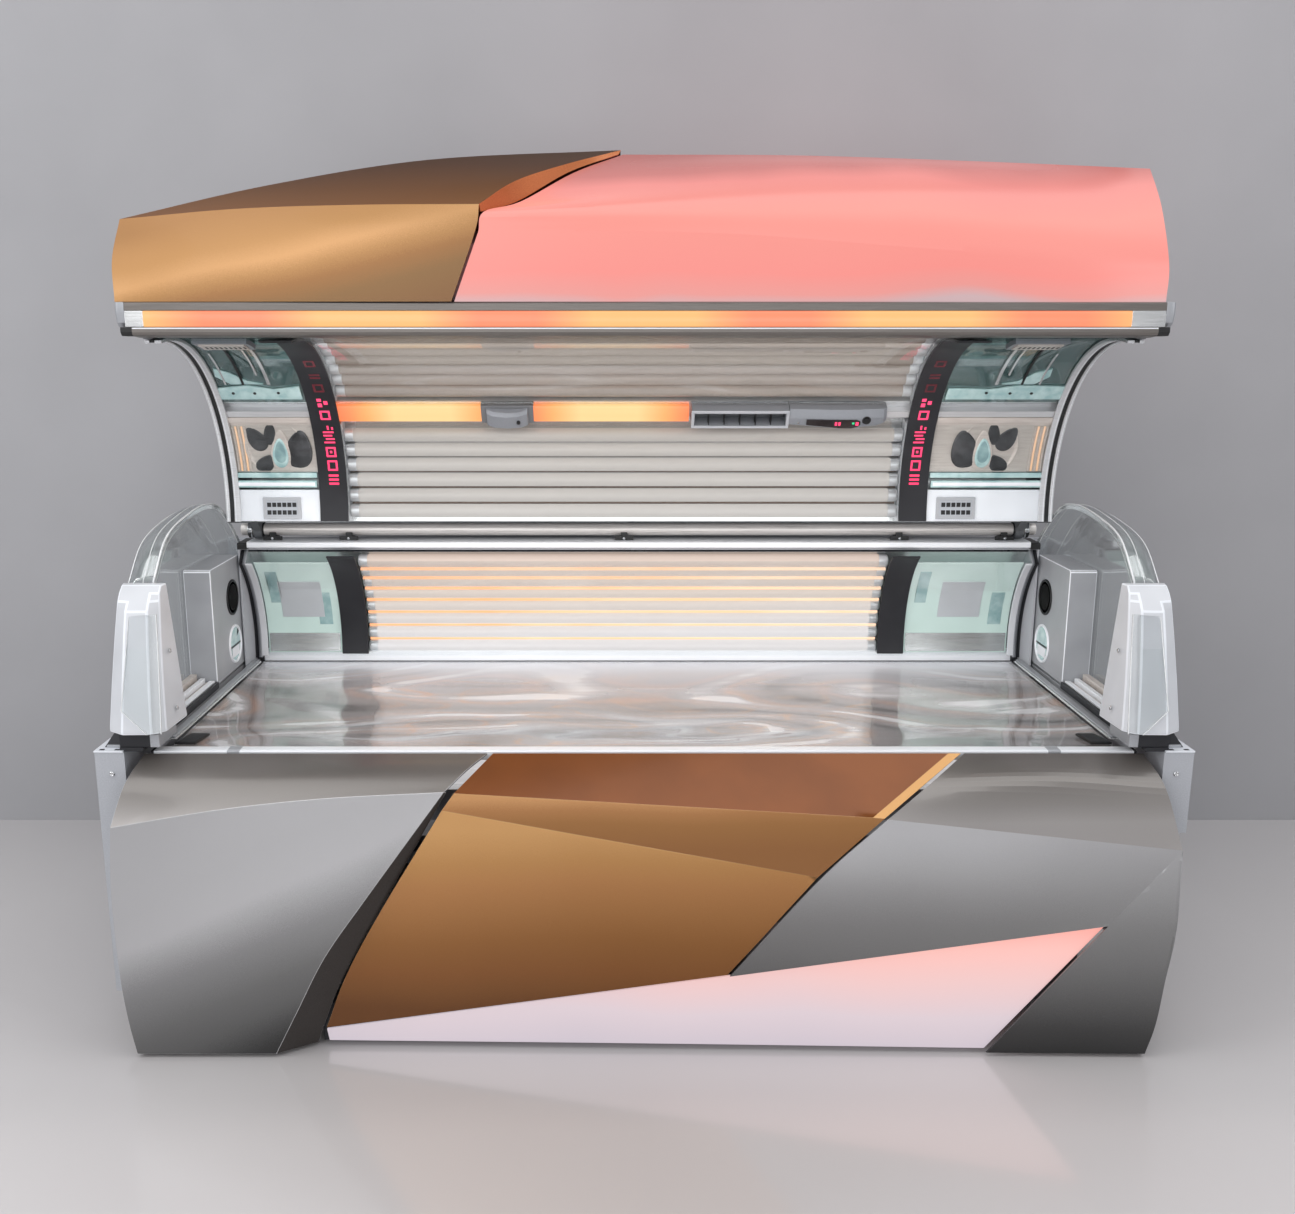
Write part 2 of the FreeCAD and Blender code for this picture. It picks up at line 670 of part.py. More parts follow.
def make_rear_dark_covers():
    inner = S.wall_pane_radius + S.pane + 0.3
    outer = WALL_LAMP_RADIUS + LAMP_R + S.lamp_gap - 0.3
    covers = [curved_sheet(inner, outer, x0, x1, WALL_START + 2, WALL_STOP - 3, WALL_Y, S.wall_z)
              for x0, x1 in dark_cover_spans()]
    return piece(group(*covers), "rear_dark_covers")


# ---------------------------------------------------------------- end pods
DECK_TOP = S.side_top + 10
PILLAR_BOTTOM = DECK_TOP + 38
PILLAR_TOP = Size(1050)


def make_front_pillars():
    """Tapered mouldings with creased front faces."""
    low, high = val(PILLAR_BOTTOM), val(PILLAR_TOP)
    foot = [(-57, -440), (-53, -560), (-30, -588), (35, -592), (72, -562), (78, -440)]
    head = [(-1, -440), (-1, -474), (6, -496), (40, -500), (55, -484), (59, -440)]
    wires = []
    for corners, z in ((foot, low), (head, high)):
        points = [Vector(x + val(POD_INNER), y, z) for x, y in corners]
        wires.append(Part.makePolygon(points + points[:1]))
    right = feature(Part.makeLoft(wires, True, True), "pillar")
    return piece(group(*both_sides(right)), "front_pillars")


REAR_PILLAR_Y = (-40, 205)
SPEAKER = (125, 898, 46)
VENT = (125, 768, 50)
POD_IN = POD_INNER + 3


def make_rear_pillars():
    """Box columns with round seats for a speaker and a vent in their inner faces."""
    y0, y1 = REAR_PILLAR_Y
    block = box(POD_IN, POD_OUTER - S.dome_wall - 1, y0, y1, DECK_TOP, 1003)
    seats = [rod_x(radius, POD_IN - 5, POD_IN + 14, y, z) for y, z, radius in (SPEAKER, VENT)]
    return piece(group(*both_sides(cut(block, *seats))), "rear_pillars")


def make_pod_fittings():
    """A speaker with its cone and a ringed round vent in each rear pillar."""
    solids = []
    for y, z, radius in (SPEAKER, VENT):
        disc = rod_x(radius, POD_IN + 4, POD_IN + 14, y, z)
        dish = rod_x(radius - 8, POD_IN + 3, POD_IN + 9, y, z)
        boss = rod_x(radius / 3, POD_IN + 8, POD_IN + 11, y, z)
        solids.append(fuse(cut(disc, dish), boss))
    return piece(group(*both_sides(*solids)), "pod_fittings")


def make_side_ledges():
    """Decks beside the bed that carry the pods, with rails and a small grip at the front."""
    inner = FRONT_RAIL_HALF + 2
    deck = box(inner, POD_OUTER + 15, -540, 352, S.side_top, DECK_TOP)
    web = box(inner, inner + 4, -470, 352, RAIL_BOTTOM, S.side_top)
    slats = [box(inner + 8 + 22 * i, inner + 18 + 22 * i, -420, -60, DECK_TOP, DECK_TOP + 6) for i in range(3)]
    grip = box(inner + 4, inner + 30, -470, -444, DECK_TOP, DECK_TOP + 9)
    seat = box(POD_INNER - 30, POD_INNER + 60, -556, -446, DECK_TOP, PILLAR_BOTTOM)
    seat_leg = box(inner, POD_INNER + 60, -556, -446, S.side_top, DECK_TOP)
    return piece(group(*both_sides(fuse(deck, web, grip, seat, seat_leg, *slats))), "side_ledges")


def dome_face(inset):
    """The D-shaped outline of an end dome, drawn in from its outside by a wall."""
    front, back, low = -435 + inset, 350 - inset, val(DECK_TOP)
    corners = [Vector(0, front, low), Vector(0, front, 1052), Vector(0, -200, 1166 - inset),
               Vector(0, 80, 1142 - inset), Vector(0, back - 18, 832), Vector(0, back, low)]
    middles = {1: Vector(0, -340 + inset * 0.6, 1134 - inset * 0.8), 2: Vector(0, -45, 1175 - inset),
               3: Vector(0, 232 - inset * 0.7, 1012 - inset * 0.7)}
    edges = []
    for i in range(len(corners)):
        a, b = corners[i], corners[(i + 1) % len(corners)]
        edges.append(Part.Arc(a, middles[i], b).toShape() if i in middles else Part.LineSegment(a, b).toShape())
    return Part.Face(Part.Wire(edges))


def make_end_domes():
    """Clear covers, open towards the bed and below."""
    inner, outer, wall = val(POD_INNER), val(POD_OUTER), val(S.dome_wall)
    solid = dome_face(0).extrude(Vector(outer - inner, 0, 0))
    hollow = dome_face(wall).extrude(Vector(outer - inner - wall, 0, 0))
    shape = solid.cut(hollow)
    slot = Part.makeBox(outer - inner - wall, 780 - 2 * wall, 20, Vector(0, -435 + wall, val(DECK_TOP) - 10))
    shape = shape.cut(slot)
    shape.translate(Vector(inner, 0, 0))
    return piece(group(*both_sides(feature(shape, "dome"))), "end_domes")


# ---------------------------------------------------------------- hinge, struts
STUD_END = LEVER_OUT + 3
STUD_GAP = 0.4
EYE_WIDTH = 10
STRUT_X = STUD_END + STUD_GAP + EYE_WIDTH / 2.0
STUD_Y = S.hinge_y + S.lever * cosine(S.lever_angle)
STUD_Z = S.hinge_z + S.lever * sine(S.lever_angle)


def strut_length():
    return math.hypot(val(STUD_Y) - val(S.strut_foot_y), val(STUD_Z) - val(S.strut_foot_z))


def strut_tilt():
    """The strut's lean towards the front, in degrees."""
    return math.degrees(math.atan2(val(S.strut_foot_y) - val(STUD_Y), val(STUD_Z) - val(S.strut_foot_z)))


def make_hinge_shaft():
    return piece(rod_x(S.shaft_radius, -S.frame_half, S.frame_half, S.hinge_y, S.hinge_z), "hinge_shaft")


def make_hinge_brackets():
    """Clamps that carry the hinge tube on the bench, and a collar beside each canopy hub."""
    solids = []
    for x in (90 - S.frame_half, 300 - S.frame_half, -40, S.frame_half - 380, S.frame_half - 90):
        x = as_size(x)
        leg = box(x - 9, x + 9, S.hinge_y - 18, S.hinge_y + 18, SEAL_TOP, S.hinge_z)
        ring = rod_x(S.hub_radius, x - 9, x + 9, S.hinge_y, S.hinge_z)
        solids.append(cut(fuse(leg, ring), rod_x(S.shaft_radius, x - 12, x + 12, S.hinge_y, S.hinge_z)))
    collar_x = LEVER_OUT + 4
    collar = cut(rod_x(S.hub_radius - 2, collar_x, collar_x + 13, S.hinge_y, S.hinge_z),
                 rod_x(S.shaft_radius, collar_x - 3, collar_x + 16, S.hinge_y, S.hinge_z))
    return piece(group(*solids, *both_sides(collar)), "hinge_brackets")


def strut_piece(shape, side, label):
    """Stands a strut part, drawn upright from its lower pin, along the strut's line."""
    right = feature(shape, "strut")
    right.Placement = Placement(Vector(val(STRUT_X), val(S.strut_foot_y), val(S.strut_foot_z)),
                                Rotation(Vector(1, 0, 0), strut_tilt()))
    return piece(right if side > 0 else mirrored(right), label)


def eye(outer, bore, height):
    """A ring across the strut at a height above its lower pin."""
    start = Vector(-EYE_WIDTH / 2.0, 0, height)
    along = Vector(1, 0, 0)
    return Part.makeCylinder(outer, EYE_WIDTH, start, along), Part.makeCylinder(bore, EYE_WIDTH, start, along)


def make_strut_cylinder(side, label):
    radius, rod, pin = val(S.strut_tube_radius), val(S.strut_rod_radius), val(S.strut_pin_radius)
    top = 22 + val(S.strut_tube_length)
    ring, bore = eye(pin + 6, pin + 0.05, 0)
    shape = ring.fuse([Part.makeCylinder(rod + 1, 20, Vector(0, 0, 8)),
                       Part.makeCylinder(radius, top - 22, Vector(0, 0, 22))])
    shape = shape.cut(bore).cut(Part.makeCylinder(rod + 0.1, top - 100, Vector(0, 0, 102)))
    return strut_piece(shape.removeSplitter(), side, label)


def make_strut_rod(side, label):
    rod = val(S.strut_rod_radius)
    ring, bore = eye(rod + 6, rod + 1, strut_length())
    shaft = Part.makeCylinder(rod, strut_length() - 130 - rod - 2, Vector(0, 0, 130))
    return strut_piece(ring.fuse(shaft).cut(bore).removeSplitter(), side, label)


# ---------------------------------------------------------------- back cover, fans, electrics
def cover_outline(inset, front):
    """The back cover's section: an upright back, a sloping shoulder and a flat top."""
    back = val(S.side_rear_y) - inset
    top = val(COVER_TOP) - inset
    return [(front, top), (385 - 0.3 * inset, top), (470 - 0.85 * inset, 965 - 0.6 * inset),
            (back, 820 - 0.4 * inset), (back, 70 if inset else 110), (front, 70 if inset else 110)]


def prism(outline, x0, x1):
    points = [Vector(x0, y, z) for y, z in outline]
    return Part.Face(Part.makePolygon(points + points[:1])).extrude(Vector(x1 - x0, 0, 0))


def make_back_cover():
    """A thin shell, open to the front and below, stepped in behind the end pods."""
    wall, half = val(S.shell), val(POD_OUTER) - 1
    outer = prism(cover_outline(0, 190), -half, half)
    inner = prism(cover_outline(wall, 180), -half + wall, half - wall)
    step = val(S.frame_half) + 0.3 + wall
    for side in (-1, 1):
        x0, x1 = sorted((side * step, side * (half + 10)))
        outer = outer.cut(Part.makeBox(x1 - x0, 200, 1100, Vector(x0, 156, 0)))
        x0, x1 = sorted((side * (step - wall), side * (half + 10)))
        inner = inner.cut(Part.makeBox(x1 - x0, 204, 1100, Vector(x0, 156, 0)))
    shape = outer.cut(inner)
    for side in (-1, 1):
        slot_x = side * val(STRUT_X)
        shape = shape.cut(Part.makeBox(44, 74, 60, Vector(slot_x - 22, 308, val(COVER_TOP) - 40)))
        hole = Part.makeCylinder(val(S.fan_radius) + 18, 60, Vector(side * val(S.fan_x), 520, val(S.fan_z)),
                                 Vector(0, 1, 0))
        shape = shape.cut(hole)
    gland = Part.makeCylinder(val(S.gland_radius) - 3.8, 60, Vector(val(GLAND_X), 530, GLAND_Z), Vector(0, 1, 0))
    return piece(feature(shape.cut(gland)), "back_cover")


GLAND_X = 200 - S.frame_half
GLAND_Z = 220
FAN_FRONT = 514


def make_fan_housings():
    """A duct ring, three struts that carry the motor, its spindle, and a wire guard outside."""
    back = S.side_rear_y
    solids = []
    for x in (-S.fan_x, S.fan_x):
        ring = cut(rod_y(S.fan_radius + 17.8, x, FAN_FRONT, back, S.fan_z),
                   rod_y(S.fan_radius + 4, x, FAN_FRONT - 3, back + 3, S.fan_z))
        arm = box(x - S.fan_radius - 6, x + S.fan_radius + 6, FAN_FRONT, FAN_FRONT + 5, S.fan_z - 6, S.fan_z + 6)
        motor = rod_y(24, x, FAN_FRONT, FAN_FRONT + 8, S.fan_z)
        spindle = rod_y(4, x, FAN_FRONT, FAN_FRONT + 26, S.fan_z)
        wires = [box(x - S.fan_radius - 6, x + S.fan_radius + 6, back - 3, back, S.fan_z - 2, S.fan_z + 2),
                 box(x - 2, x + 2, back - 3, back, S.fan_z - S.fan_radius - 6, S.fan_z + S.fan_radius + 6)]
        for radius in (30, 52, 74):
            wires.append(cut(rod_y(radius + 3, x, back - 3, back, S.fan_z),
                             rod_y(radius, x, back - 6, back + 3, S.fan_z)))
        solids.append(fuse(ring, arm, motor, spindle, *wires))
    return piece(group(*solids), "fan_housings")


def make_fan_rotor(x, label):
    """A hub with seven pitched blades set round it by a pattern."""
    body = doc.addObject("PartDesign::Body", new_name("rotor"))
    hub = sketch_on(body, "XZ", [(4.05, 0), (28, 0), (28, 20), (22, 24), (4.05, 24)])
    turn = body.newObject("PartDesign::Revolution", new_name("hub"))
    turn.Profile = hub
    turn.ReferenceAxis = (hub, ["V_Axis"])
    turn.Angle = 360
    doc.recompute()
    blade = sketch_on(body, "YZ", [(-13, 2), (-11, 2), (13, 20), (11, 20)])
    blade.AttachmentOffset = Placement(Vector(0, 0, 24), Rotation())
    pad = body.newObject("PartDesign::Pad", new_name("blade"))
    pad.Profile = blade
    drive(pad, Length=S.fan_radius - 24)
    doc.recompute()
    pattern = body.newObject("PartDesign::PolarPattern", new_name("blades"))
    pattern.Originals = [pad]
    pattern.Axis = (hub, ["V_Axis"])
    pattern.Angle = 360
    pattern.Occurrences = 7
    body.Tip = pattern
    place(body, x, FAN_FRONT + 11, S.fan_z, ALONG_Y)
    return piece(body, label)


def make_ballasts():
    """A sheet tray on the cross beams with two rows of ballasts."""
    parts = [box(-1015, 1015, -380, 250, BEAM_TOP, BEAM_TOP + 2)]
    for i in range(5):
        for y in (-300, 60):
            parts.append(box(-820 + 350 * i, -580 + 350 * i, y, y + 70, BEAM_TOP + 2, BEAM_TOP + 50))
    return piece(fuse(*parts), "ballasts")


def make_mains_gland():
    """A cable gland through the back cover: body, lock nut inside and dome nut outside."""
    y0 = S.side_rear_y - 14
    body = rod_y(S.gland_radius - 4, GLAND_X, y0, y0 + S.gland_length, GLAND_Z)
    lock = rod_y(S.gland_radius, GLAND_X, S.side_rear_y - S.shell - 6, S.side_rear_y - S.shell, GLAND_Z)
    dome = rod_y(S.gland_radius, GLAND_X, S.side_rear_y, S.side_rear_y + 14, GLAND_Z)
    bore = rod_y(S.gland_bore, GLAND_X, y0 - 5, y0 + S.gland_length + 5, GLAND_Z)
    return piece(cut(fuse(body, lock, dome), bore), "mains_gland")


# ---------------------------------------------------------------- canopy frame, lamps and panes
FRAME_IN = S.canopy_pane_radius + S.pane
FRAME_OUT = FRAME_IN + S.frame_band
CANOPY_LAMP_RADIUS = FRAME_IN + S.lamp_gap + LAMP_R
CANOPY_REFLECTOR = CANOPY_LAMP_RADIUS + LAMP_R + S.lamp_gap
LOWER_FIELD = (-7.4, 28.2)
UPPER_FIELD = (37.8, 99.6)
BAND_BACK = FRAME_IN + 19
BAND_TURN = Rotation(Vector(1, 0, 0), val(S.band_angle))
BAND_COS = cosine(S.band_angle)
BAND_SIN = sine(S.band_angle)


def band_point(radial, up):
    """A place in the band of units: out from the curve's middle, and up along the curve."""
    radial, up = as_size(radial), as_size(up)
    return (S.arc_y + radial * BAND_COS - up * BAND_SIN, S.arc_z + radial * BAND_SIN + up * BAND_COS)


def band_block(x0, x1, r0, r1, u0, u1):
    """A block square to the inner curve, in the band of units."""
    obj = doc.addObject("Part::Box", new_name("block"))
    x0, x1, r0, r1, u0, u1 = [as_size(number) for number in (x0, x1, r0, r1, u0, u1)]
    drive(obj, Length=x1 - x0, Width=r1 - r0, Height=u1 - u0)
    y, z = band_point(r0, u0)
    place(obj, x0, y, z, BAND_TURN)
    return obj


def band_rod(radius, x, r0, r1, up):
    """A round bar square to the inner curve."""
    obj = doc.addObject("Part::Cylinder", new_name("bar"))
    drive(obj, Radius=radius, Height=as_size(r1) - r0)
    y, z = band_point(r0, up)
    place(obj, x, y, z, BAND_TURN * ALONG_Y)
    return obj


def band_pin(radius, x, radial, u0, u1):
    """A round bar that follows the inner curve upward."""
    obj = doc.addObject("Part::Cylinder", new_name("bar"))
    drive(obj, Radius=radius, Height=as_size(u1) - u0)
    y, z = band_point(radial, u0)
    place(obj, x, y, z, BAND_TURN)
    return obj


def canopy_curve(inner, outer, x0, x1, start, stop):
    return curved_sheet(inner, outer, x0, x1, start, stop, S.arc_y, S.arc_z)


def bar_between(x0, x1, y, z, angle, length, half_height):
    """A flat bar in a plane across the bed, from a point and along an angle above +Y."""
    obj = doc.addObject("Part::Box", new_name("bar"))
    drive(obj, Length=as_size(x1) - x0, Width=length, Height=2 * half_height)
    turn = as_size(angle)
    place(obj, x0, y + half_height * sine(turn), z - half_height * cosine(turn), Rotation(Vector(1, 0, 0), val(turn)))
    return obj


def make_canopy_end_frames():
    """Curved end frames with the hinge hubs, the arms that carry them and the strut levers."""
    x0, x1 = LEVER_IN, LEVER_OUT
    band = canopy_curve(FRAME_IN, FRAME_OUT, S.frame_half - S.frame_width, S.frame_half, -8, 100)
    heel = canopy_curve(FRAME_IN + 8.3, FRAME_OUT, x0, S.frame_half - S.frame_width, -8, 4)
    hub = rod_x(S.hub_radius, x0, x1, S.hinge_y, S.hinge_z)
    arm = bar_between(x0, x1, S.hinge_y, S.hinge_z, 140, 541 - S.canopy_pane_radius, 17)
    lever = bar_between(x0, x1, S.hinge_y, S.hinge_z, S.lever_angle, S.lever, 10)
    boss = rod_x(12, x0, x1, STUD_Y, STUD_Z)
    stud = rod_x(S.strut_rod_radius, x1, STUD_END, STUD_Y, STUD_Z)
    bore = rod_x(S.shaft_radius + S.hub_clearance, x0 - 5, x1 + 5, S.hinge_y, S.hinge_z)
    return piece(group(*both_sides(cut(fuse(band, heel, hub, arm, lever, boss, stud), bore))), "canopy_end_frames")


HEADER_Y = (S.fascia_y + 9, S.fascia_y + 39)
HEADER_Z = (S.lip_bottom + 20.3, S.fascia_top - 3.3)


def make_canopy_beams():
    """The front header, three tubes over the reflectors, and the channel behind the band of units."""
    end = S.frame_half - S.frame_width
    header = box(-end, end, HEADER_Y[0], HEADER_Y[1], HEADER_Z[0], HEADER_Z[1])
    tubes = []
    for angle in (14, 52, 84):
        radial = FRAME_OUT + 15.3
        tubes.append(rod_x(15, 4.3 - BACK_SHELL_HALF, BACK_SHELL_HALF - 4.3, S.arc_y + radial * cosine(angle),
                           S.arc_z + radial * sine(angle)))
    channel = band_block(-end, end, BAND_BACK, CANOPY_REFLECTOR, -27, 27)
    left = band_block(-end, STRIP_SPANS[0][0] - 0.3, FRAME_IN - 2, BAND_BACK, -9, 9)
    right = band_block(CONTROL_SPAN[1] + 0.3, end, FRAME_IN - 2, BAND_BACK, -9, 9)
    return piece(group(header, fuse(channel, left, right), *tubes), "canopy_beams")


def make_canopy_pane():
    """Clear curved acrylic above and below the band of units."""
    end = S.frame_half - S.frame_width - 0.3
    panes = [canopy_curve(S.canopy_pane_radius, FRAME_IN, -end, end, *span) for span in ((-8, 28.4), (37.6, 100.4))]
    return piece(group(*panes), "canopy_pane")


def make_canopy_lamps():
    angles = lamp_angles(CANOPY_LAMP_RADIUS, LOWER_FIELD[0] + 3.6, LOWER_FIELD[1] - 3.4)
    angles += lamp_angles(CANOPY_LAMP_RADIUS, UPPER_FIELD[0] + 3.4, UPPER_FIELD[1] - 3.4)
    return piece(group(*lamps_on_arc(CANOPY_LAMP_RADIUS, S.arc_y, S.arc_z, angles)), "canopy_lamps")


def field_pieces(inner, outer, spans):
    return [canopy_curve(inner, outer, x0, x1, *field) for x0, x1 in spans for field in (LOWER_FIELD, UPPER_FIELD)]


def make_canopy_dark_covers():
    return piece(group(*field_pieces(FRAME_IN + 0.3, FRAME_IN + 5, dark_cover_spans())), "canopy_dark_covers")


def make_canopy_lamp_holders():
    """The holders behind the charcoal covers, between which the lamps are clipped."""
    return piece(group(*field_pieces(FRAME_IN + 5, CANOPY_REFLECTOR, dark_cover_spans())), "canopy_lamp_holders")


def make_canopy_reflectors():
    end = LEVER_IN - 0.3
    sheets = field_pieces(CANOPY_REFLECTOR, CANOPY_REFLECTOR + S.reflector, [(-end, end)])
    return piece(group(*sheets), "canopy_reflectors")


def end_zones():
    """The two spans between the charcoal covers and the end frames."""
    end = S.frame_half - S.frame_width
    left, right = dark_cover_spans()
    return ((-end, left[0]), (right[1], end))


def make_face_windows():
    """Backing panels of the end zones: a tall one above the band and a dished one below it."""
    panels = []
    for x0, x1 in end_zones():
        tall = canopy_curve(FRAME_IN + 0.3, FRAME_IN + 8, x0, x1, *UPPER_FIELD)
        low = canopy_curve(FRAME_IN + 0.3, FRAME_IN + 8, x0, x1, 10.5, LOWER_FIELD[1])
        middle = (x0 + x1) / 2
        angle = 19.5
        reach = FRAME_IN + 8
        dish = canopy_ball(78, middle, reach, angle)
        panels += [tall, cut(low, dish)]
    return piece(group(*panels), "face_windows")


def canopy_ball(radius, x, radial, angle):
    obj = doc.addObject("Part::Sphere", new_name("ball"))
    drive(obj, Radius=radius)
    place(obj, x, S.arc_y + (radial - radius + 6) * cosine(angle), S.arc_z + (radial - radius + 6) * sine(angle))
    return obj


def make_vent_panels():
    """The lowest panels of the end zones, each with two rows of six square holes."""
    panels = []
    for x0, x1 in end_zones():
        panel = canopy_curve(FRAME_IN + 0.3, FRAME_IN + 8, x0, x1, LOWER_FIELD[0], 10)
        middle = (x0 + x1) / 2
        holes = []
        for row in (-2.2, 1.4):
            for i in range(6):
                x = middle - 65 + 26 * i
                hole = doc.addObject("Part::Box", new_name("hole"))
                drive(hole, Length=14, Width=30, Height=14)
                turn = Rotation(Vector(1, 0, 0), row)
                place(hole, x - 7, S.arc_y + (FRAME_IN - 10) * cosine(row), S.arc_z + (FRAME_IN - 10) * sine(row) - 7,
                      turn)
                holes.append(hole)
        panels.append(cut(panel, group(*holes)))
    return piece(group(*panels), "vent_panels")


# ---------------------------------------------------------------- band of units
STRIP_SPANS = ((-787, -409), (-274, 125))
NOZZLE_SPAN = (-375, -305)
OUTLET_LEFT = Size(130)
OUTLET_WALL = 5
OUTLET_RIGHT = OUTLET_LEFT + S.vane_pitch * (S.vane_count + 1) + 2 * OUTLET_WALL
CONTROL_SPAN = (OUTLET_RIGHT + 0.3, OUTLET_RIGHT + 250)
UNIT_FRONT = FRAME_IN - 26
VANE_MIDDLE = UNIT_FRONT + 18
BUTTON_X = CONTROL_SPAN[1] - 52


def make_light_bars():
    """The lit bar in the canopy's front edge and the two lit strips of the inner band."""
    front = box(22 - S.frame_half, S.frame_half - 55, HEADER_Y[0] - 10, HEADER_Y[0], S.lip_bottom + 20.3, S.fascia_top - 18.3)
    strips = [band_block(x0, x1, FRAME_IN - 2, BAND_BACK, -24, 24) for x0, x1 in STRIP_SPANS]
    return piece(group(front, *strips), "light_bars")


def make_nozzle_unit():
    """A spray unit on a base plate, with a slot above a rounded lip and a small jet beside it."""
    x0, x1 = NOZZLE_SPAN
    base = band_block(STRIP_SPANS[0][1] + 0.3, STRIP_SPANS[1][0] - 0.3, FRAME_IN - 2, BAND_BACK, -24, 24)
    block = band_block(x0, x1, UNIT_FRONT + 6, FRAME_IN, -26, 26)
    lip = rod_x(9, x0, x1, *band_point(UNIT_FRONT + 9, -17))
    slot = band_block(x0 + 8, x1 - 8, UNIT_FRONT - 5, UNIT_FRONT + 18, -4, 12)
    jet = band_rod(3, x1 + 14, FRAME_IN - 12, FRAME_IN - 2, 0)
    jet_bore = band_rod(1.2, x1 + 14, FRAME_IN - 15, FRAME_IN - 4, 0)
    return piece(cut(fuse(base, block, lip, jet), slot, jet_bore), "nozzle_unit")


def vane_x(number):
    return OUTLET_LEFT + OUTLET_WALL + S.vane_pitch * number


def make_air_outlet():
    """A cool-air outlet: a frame with seats for the pins of its swinging vanes."""
    x0, x1 = OUTLET_LEFT, OUTLET_RIGHT
    block = band_block(x0, x1, UNIT_FRONT, BAND_BACK, -27, 27)
    mouth = band_block(x0 + OUTLET_WALL, x1 - OUTLET_WALL, UNIT_FRONT - 5, BAND_BACK - 6, -21.5, 21.5)
    bores = [band_pin(2.05, vane_x(i + 1), VANE_MIDDLE, -25, 25) for i in range(int(val(S.vane_count)))]
    return piece(cut(block, mouth, *bores), "air_outlet")


def make_outlet_vane(number):
    """One vane: a thin plate with an upper and a lower pin."""
    x = vane_x(number)
    plate = band_block(x - 0.8, x + 0.8, VANE_MIDDLE - 13, VANE_MIDDLE + 13, -20.5, 20.5)
    pin = band_pin(2, x, VANE_MIDDLE, -24, 24)
    return piece(fuse(plate, pin), "outlet_vane_%d" % number)


def make_control_unit():
    """The control housing with a tapered recess for the display and the bore of its push button."""
    x0, x1 = CONTROL_SPAN
    block = band_block(x0, x1, UNIT_FRONT, BAND_BACK, -27, 27)
    recess = band_block(x0 + 40, x0 + 182, UNIT_FRONT - 5, UNIT_FRONT + 3, -20, -1)
    bore = band_rod(S.button_radius + S.button_gap, BUTTON_X, UNIT_FRONT - 5, UNIT_FRONT + 18, -2)
    return piece(cut(block, recess, bore), "control_unit")


def make_control_display():
    x0 = CONTROL_SPAN[0]
    glass = band_block(x0 + 40.3, x0 + 181.7, UNIT_FRONT + 0.4, UNIT_FRONT + 3, -19.7, -1.3)
    return piece(glass, "control_display")


def make_control_button():
    return piece(band_rod(S.button_radius, BUTTON_X, UNIT_FRONT - 4, UNIT_FRONT + 14, -2), "control_button")


# ---------------------------------------------------------------- hood, fascia and lip
HOOD_REAR_Y = 296
HOOD_REAR_Z = 1696.6
HOOD_MIDDLE_Y = 130


def make_hood_gold():
    """The gold hood moulding: a front face, a creased top that rises to a lip, a sloping rear and an end."""
    skin = val(S.hood_skin)
    edge = -1142
    low_left = (edge, -430, 1672)
    bulge = (edge - 12, -395, 1753)
    corner = (edge + 10, -390, 1838)
    crease = (-783, -415, 1860)
    peak = (-353, -430, 1865)
    kink = (-362, -440, 1809)
    low_right = (-415, -450, 1663)
    lip = [(-283, -340, 1922), (-188, -260, 1966), (-67, -160, 2010)]
    ridge = [(-1001, -250, 1895), (-792, -170, 1947), (-567, -130, 1989), (-333, -130, 2007), (-52, -140, 2014)]
    shoulder = (edge + 17, -150, 1855)
    middle = [(x, HOOD_MIDDLE_Y, z) for x, z in ((-1010, 1815), (-792, 1845), (-567, 1878), (-333, 1895), (-52, 1902))]
    rear = [(x, HOOD_REAR_Y, HOOD_REAR_Z) for x in (-1010, -792, -567, -333, -52)]
    middle_end = (edge + 27, HOOD_MIDDLE_Y, 1790)
    rear_end = (edge + 37, HOOD_REAR_Y, HOOD_REAR_Z)
    front = [[low_left, low_right, kink], [low_left, kink, bulge], [bulge, kink, crease], [bulge, crease, corner],
             [kink, peak, crease]]
    top = [[corner, crease, ridge[0]], [crease, ridge[1], ridge[0]], [crease, peak, ridge[1]],
           [peak, ridge[2], ridge[1]], [peak, lip[0], ridge[2]], [lip[0], ridge[3], ridge[2]],
           [lip[0], lip[1], ridge[3]], [lip[1], lip[2], ridge[3]], [lip[2], ridge[4], ridge[3]],
           [corner, ridge[0], shoulder], [shoulder, ridge[0], middle[0]], [shoulder, middle[0], middle_end],
           [middle_end, middle[0], rear[0]], [middle_end, rear[0], rear_end]]
    top += quads(ridge, middle) + quads(middle, rear)
    skirt_low = [low_left, (edge + 7, -150, 1690), (edge + 24, HOOD_MIDDLE_Y, 1692), rear_end]
    skirt = [[low_left, bulge, skirt_low[1]], [bulge, corner, shoulder], [bulge, shoulder, skirt_low[1]],
             [skirt_low[1], shoulder, middle_end], [skirt_low[1], middle_end, skirt_low[2]],
             [skirt_low[2], middle_end, rear_end]]
    step_low = [(-350, -428, 1850), (-281, -346, 1876), (-170, -246, 1950), (-58, -156, 2004)]
    step = quads([peak] + lip, step_low)
    shape = faceted(front, Vector(0, skin, 0), hood_corner)
    shape = shape.fuse([faceted(top, Vector(0, 0, -skin), hood_corner),
                        faceted(skirt, Vector(skin, 0, 0), hood_corner),
                        faceted(step, Vector(-skin, 0, 0), hood_corner)])
    return piece(feature(shape.removeSplitter()), "hood_gold")


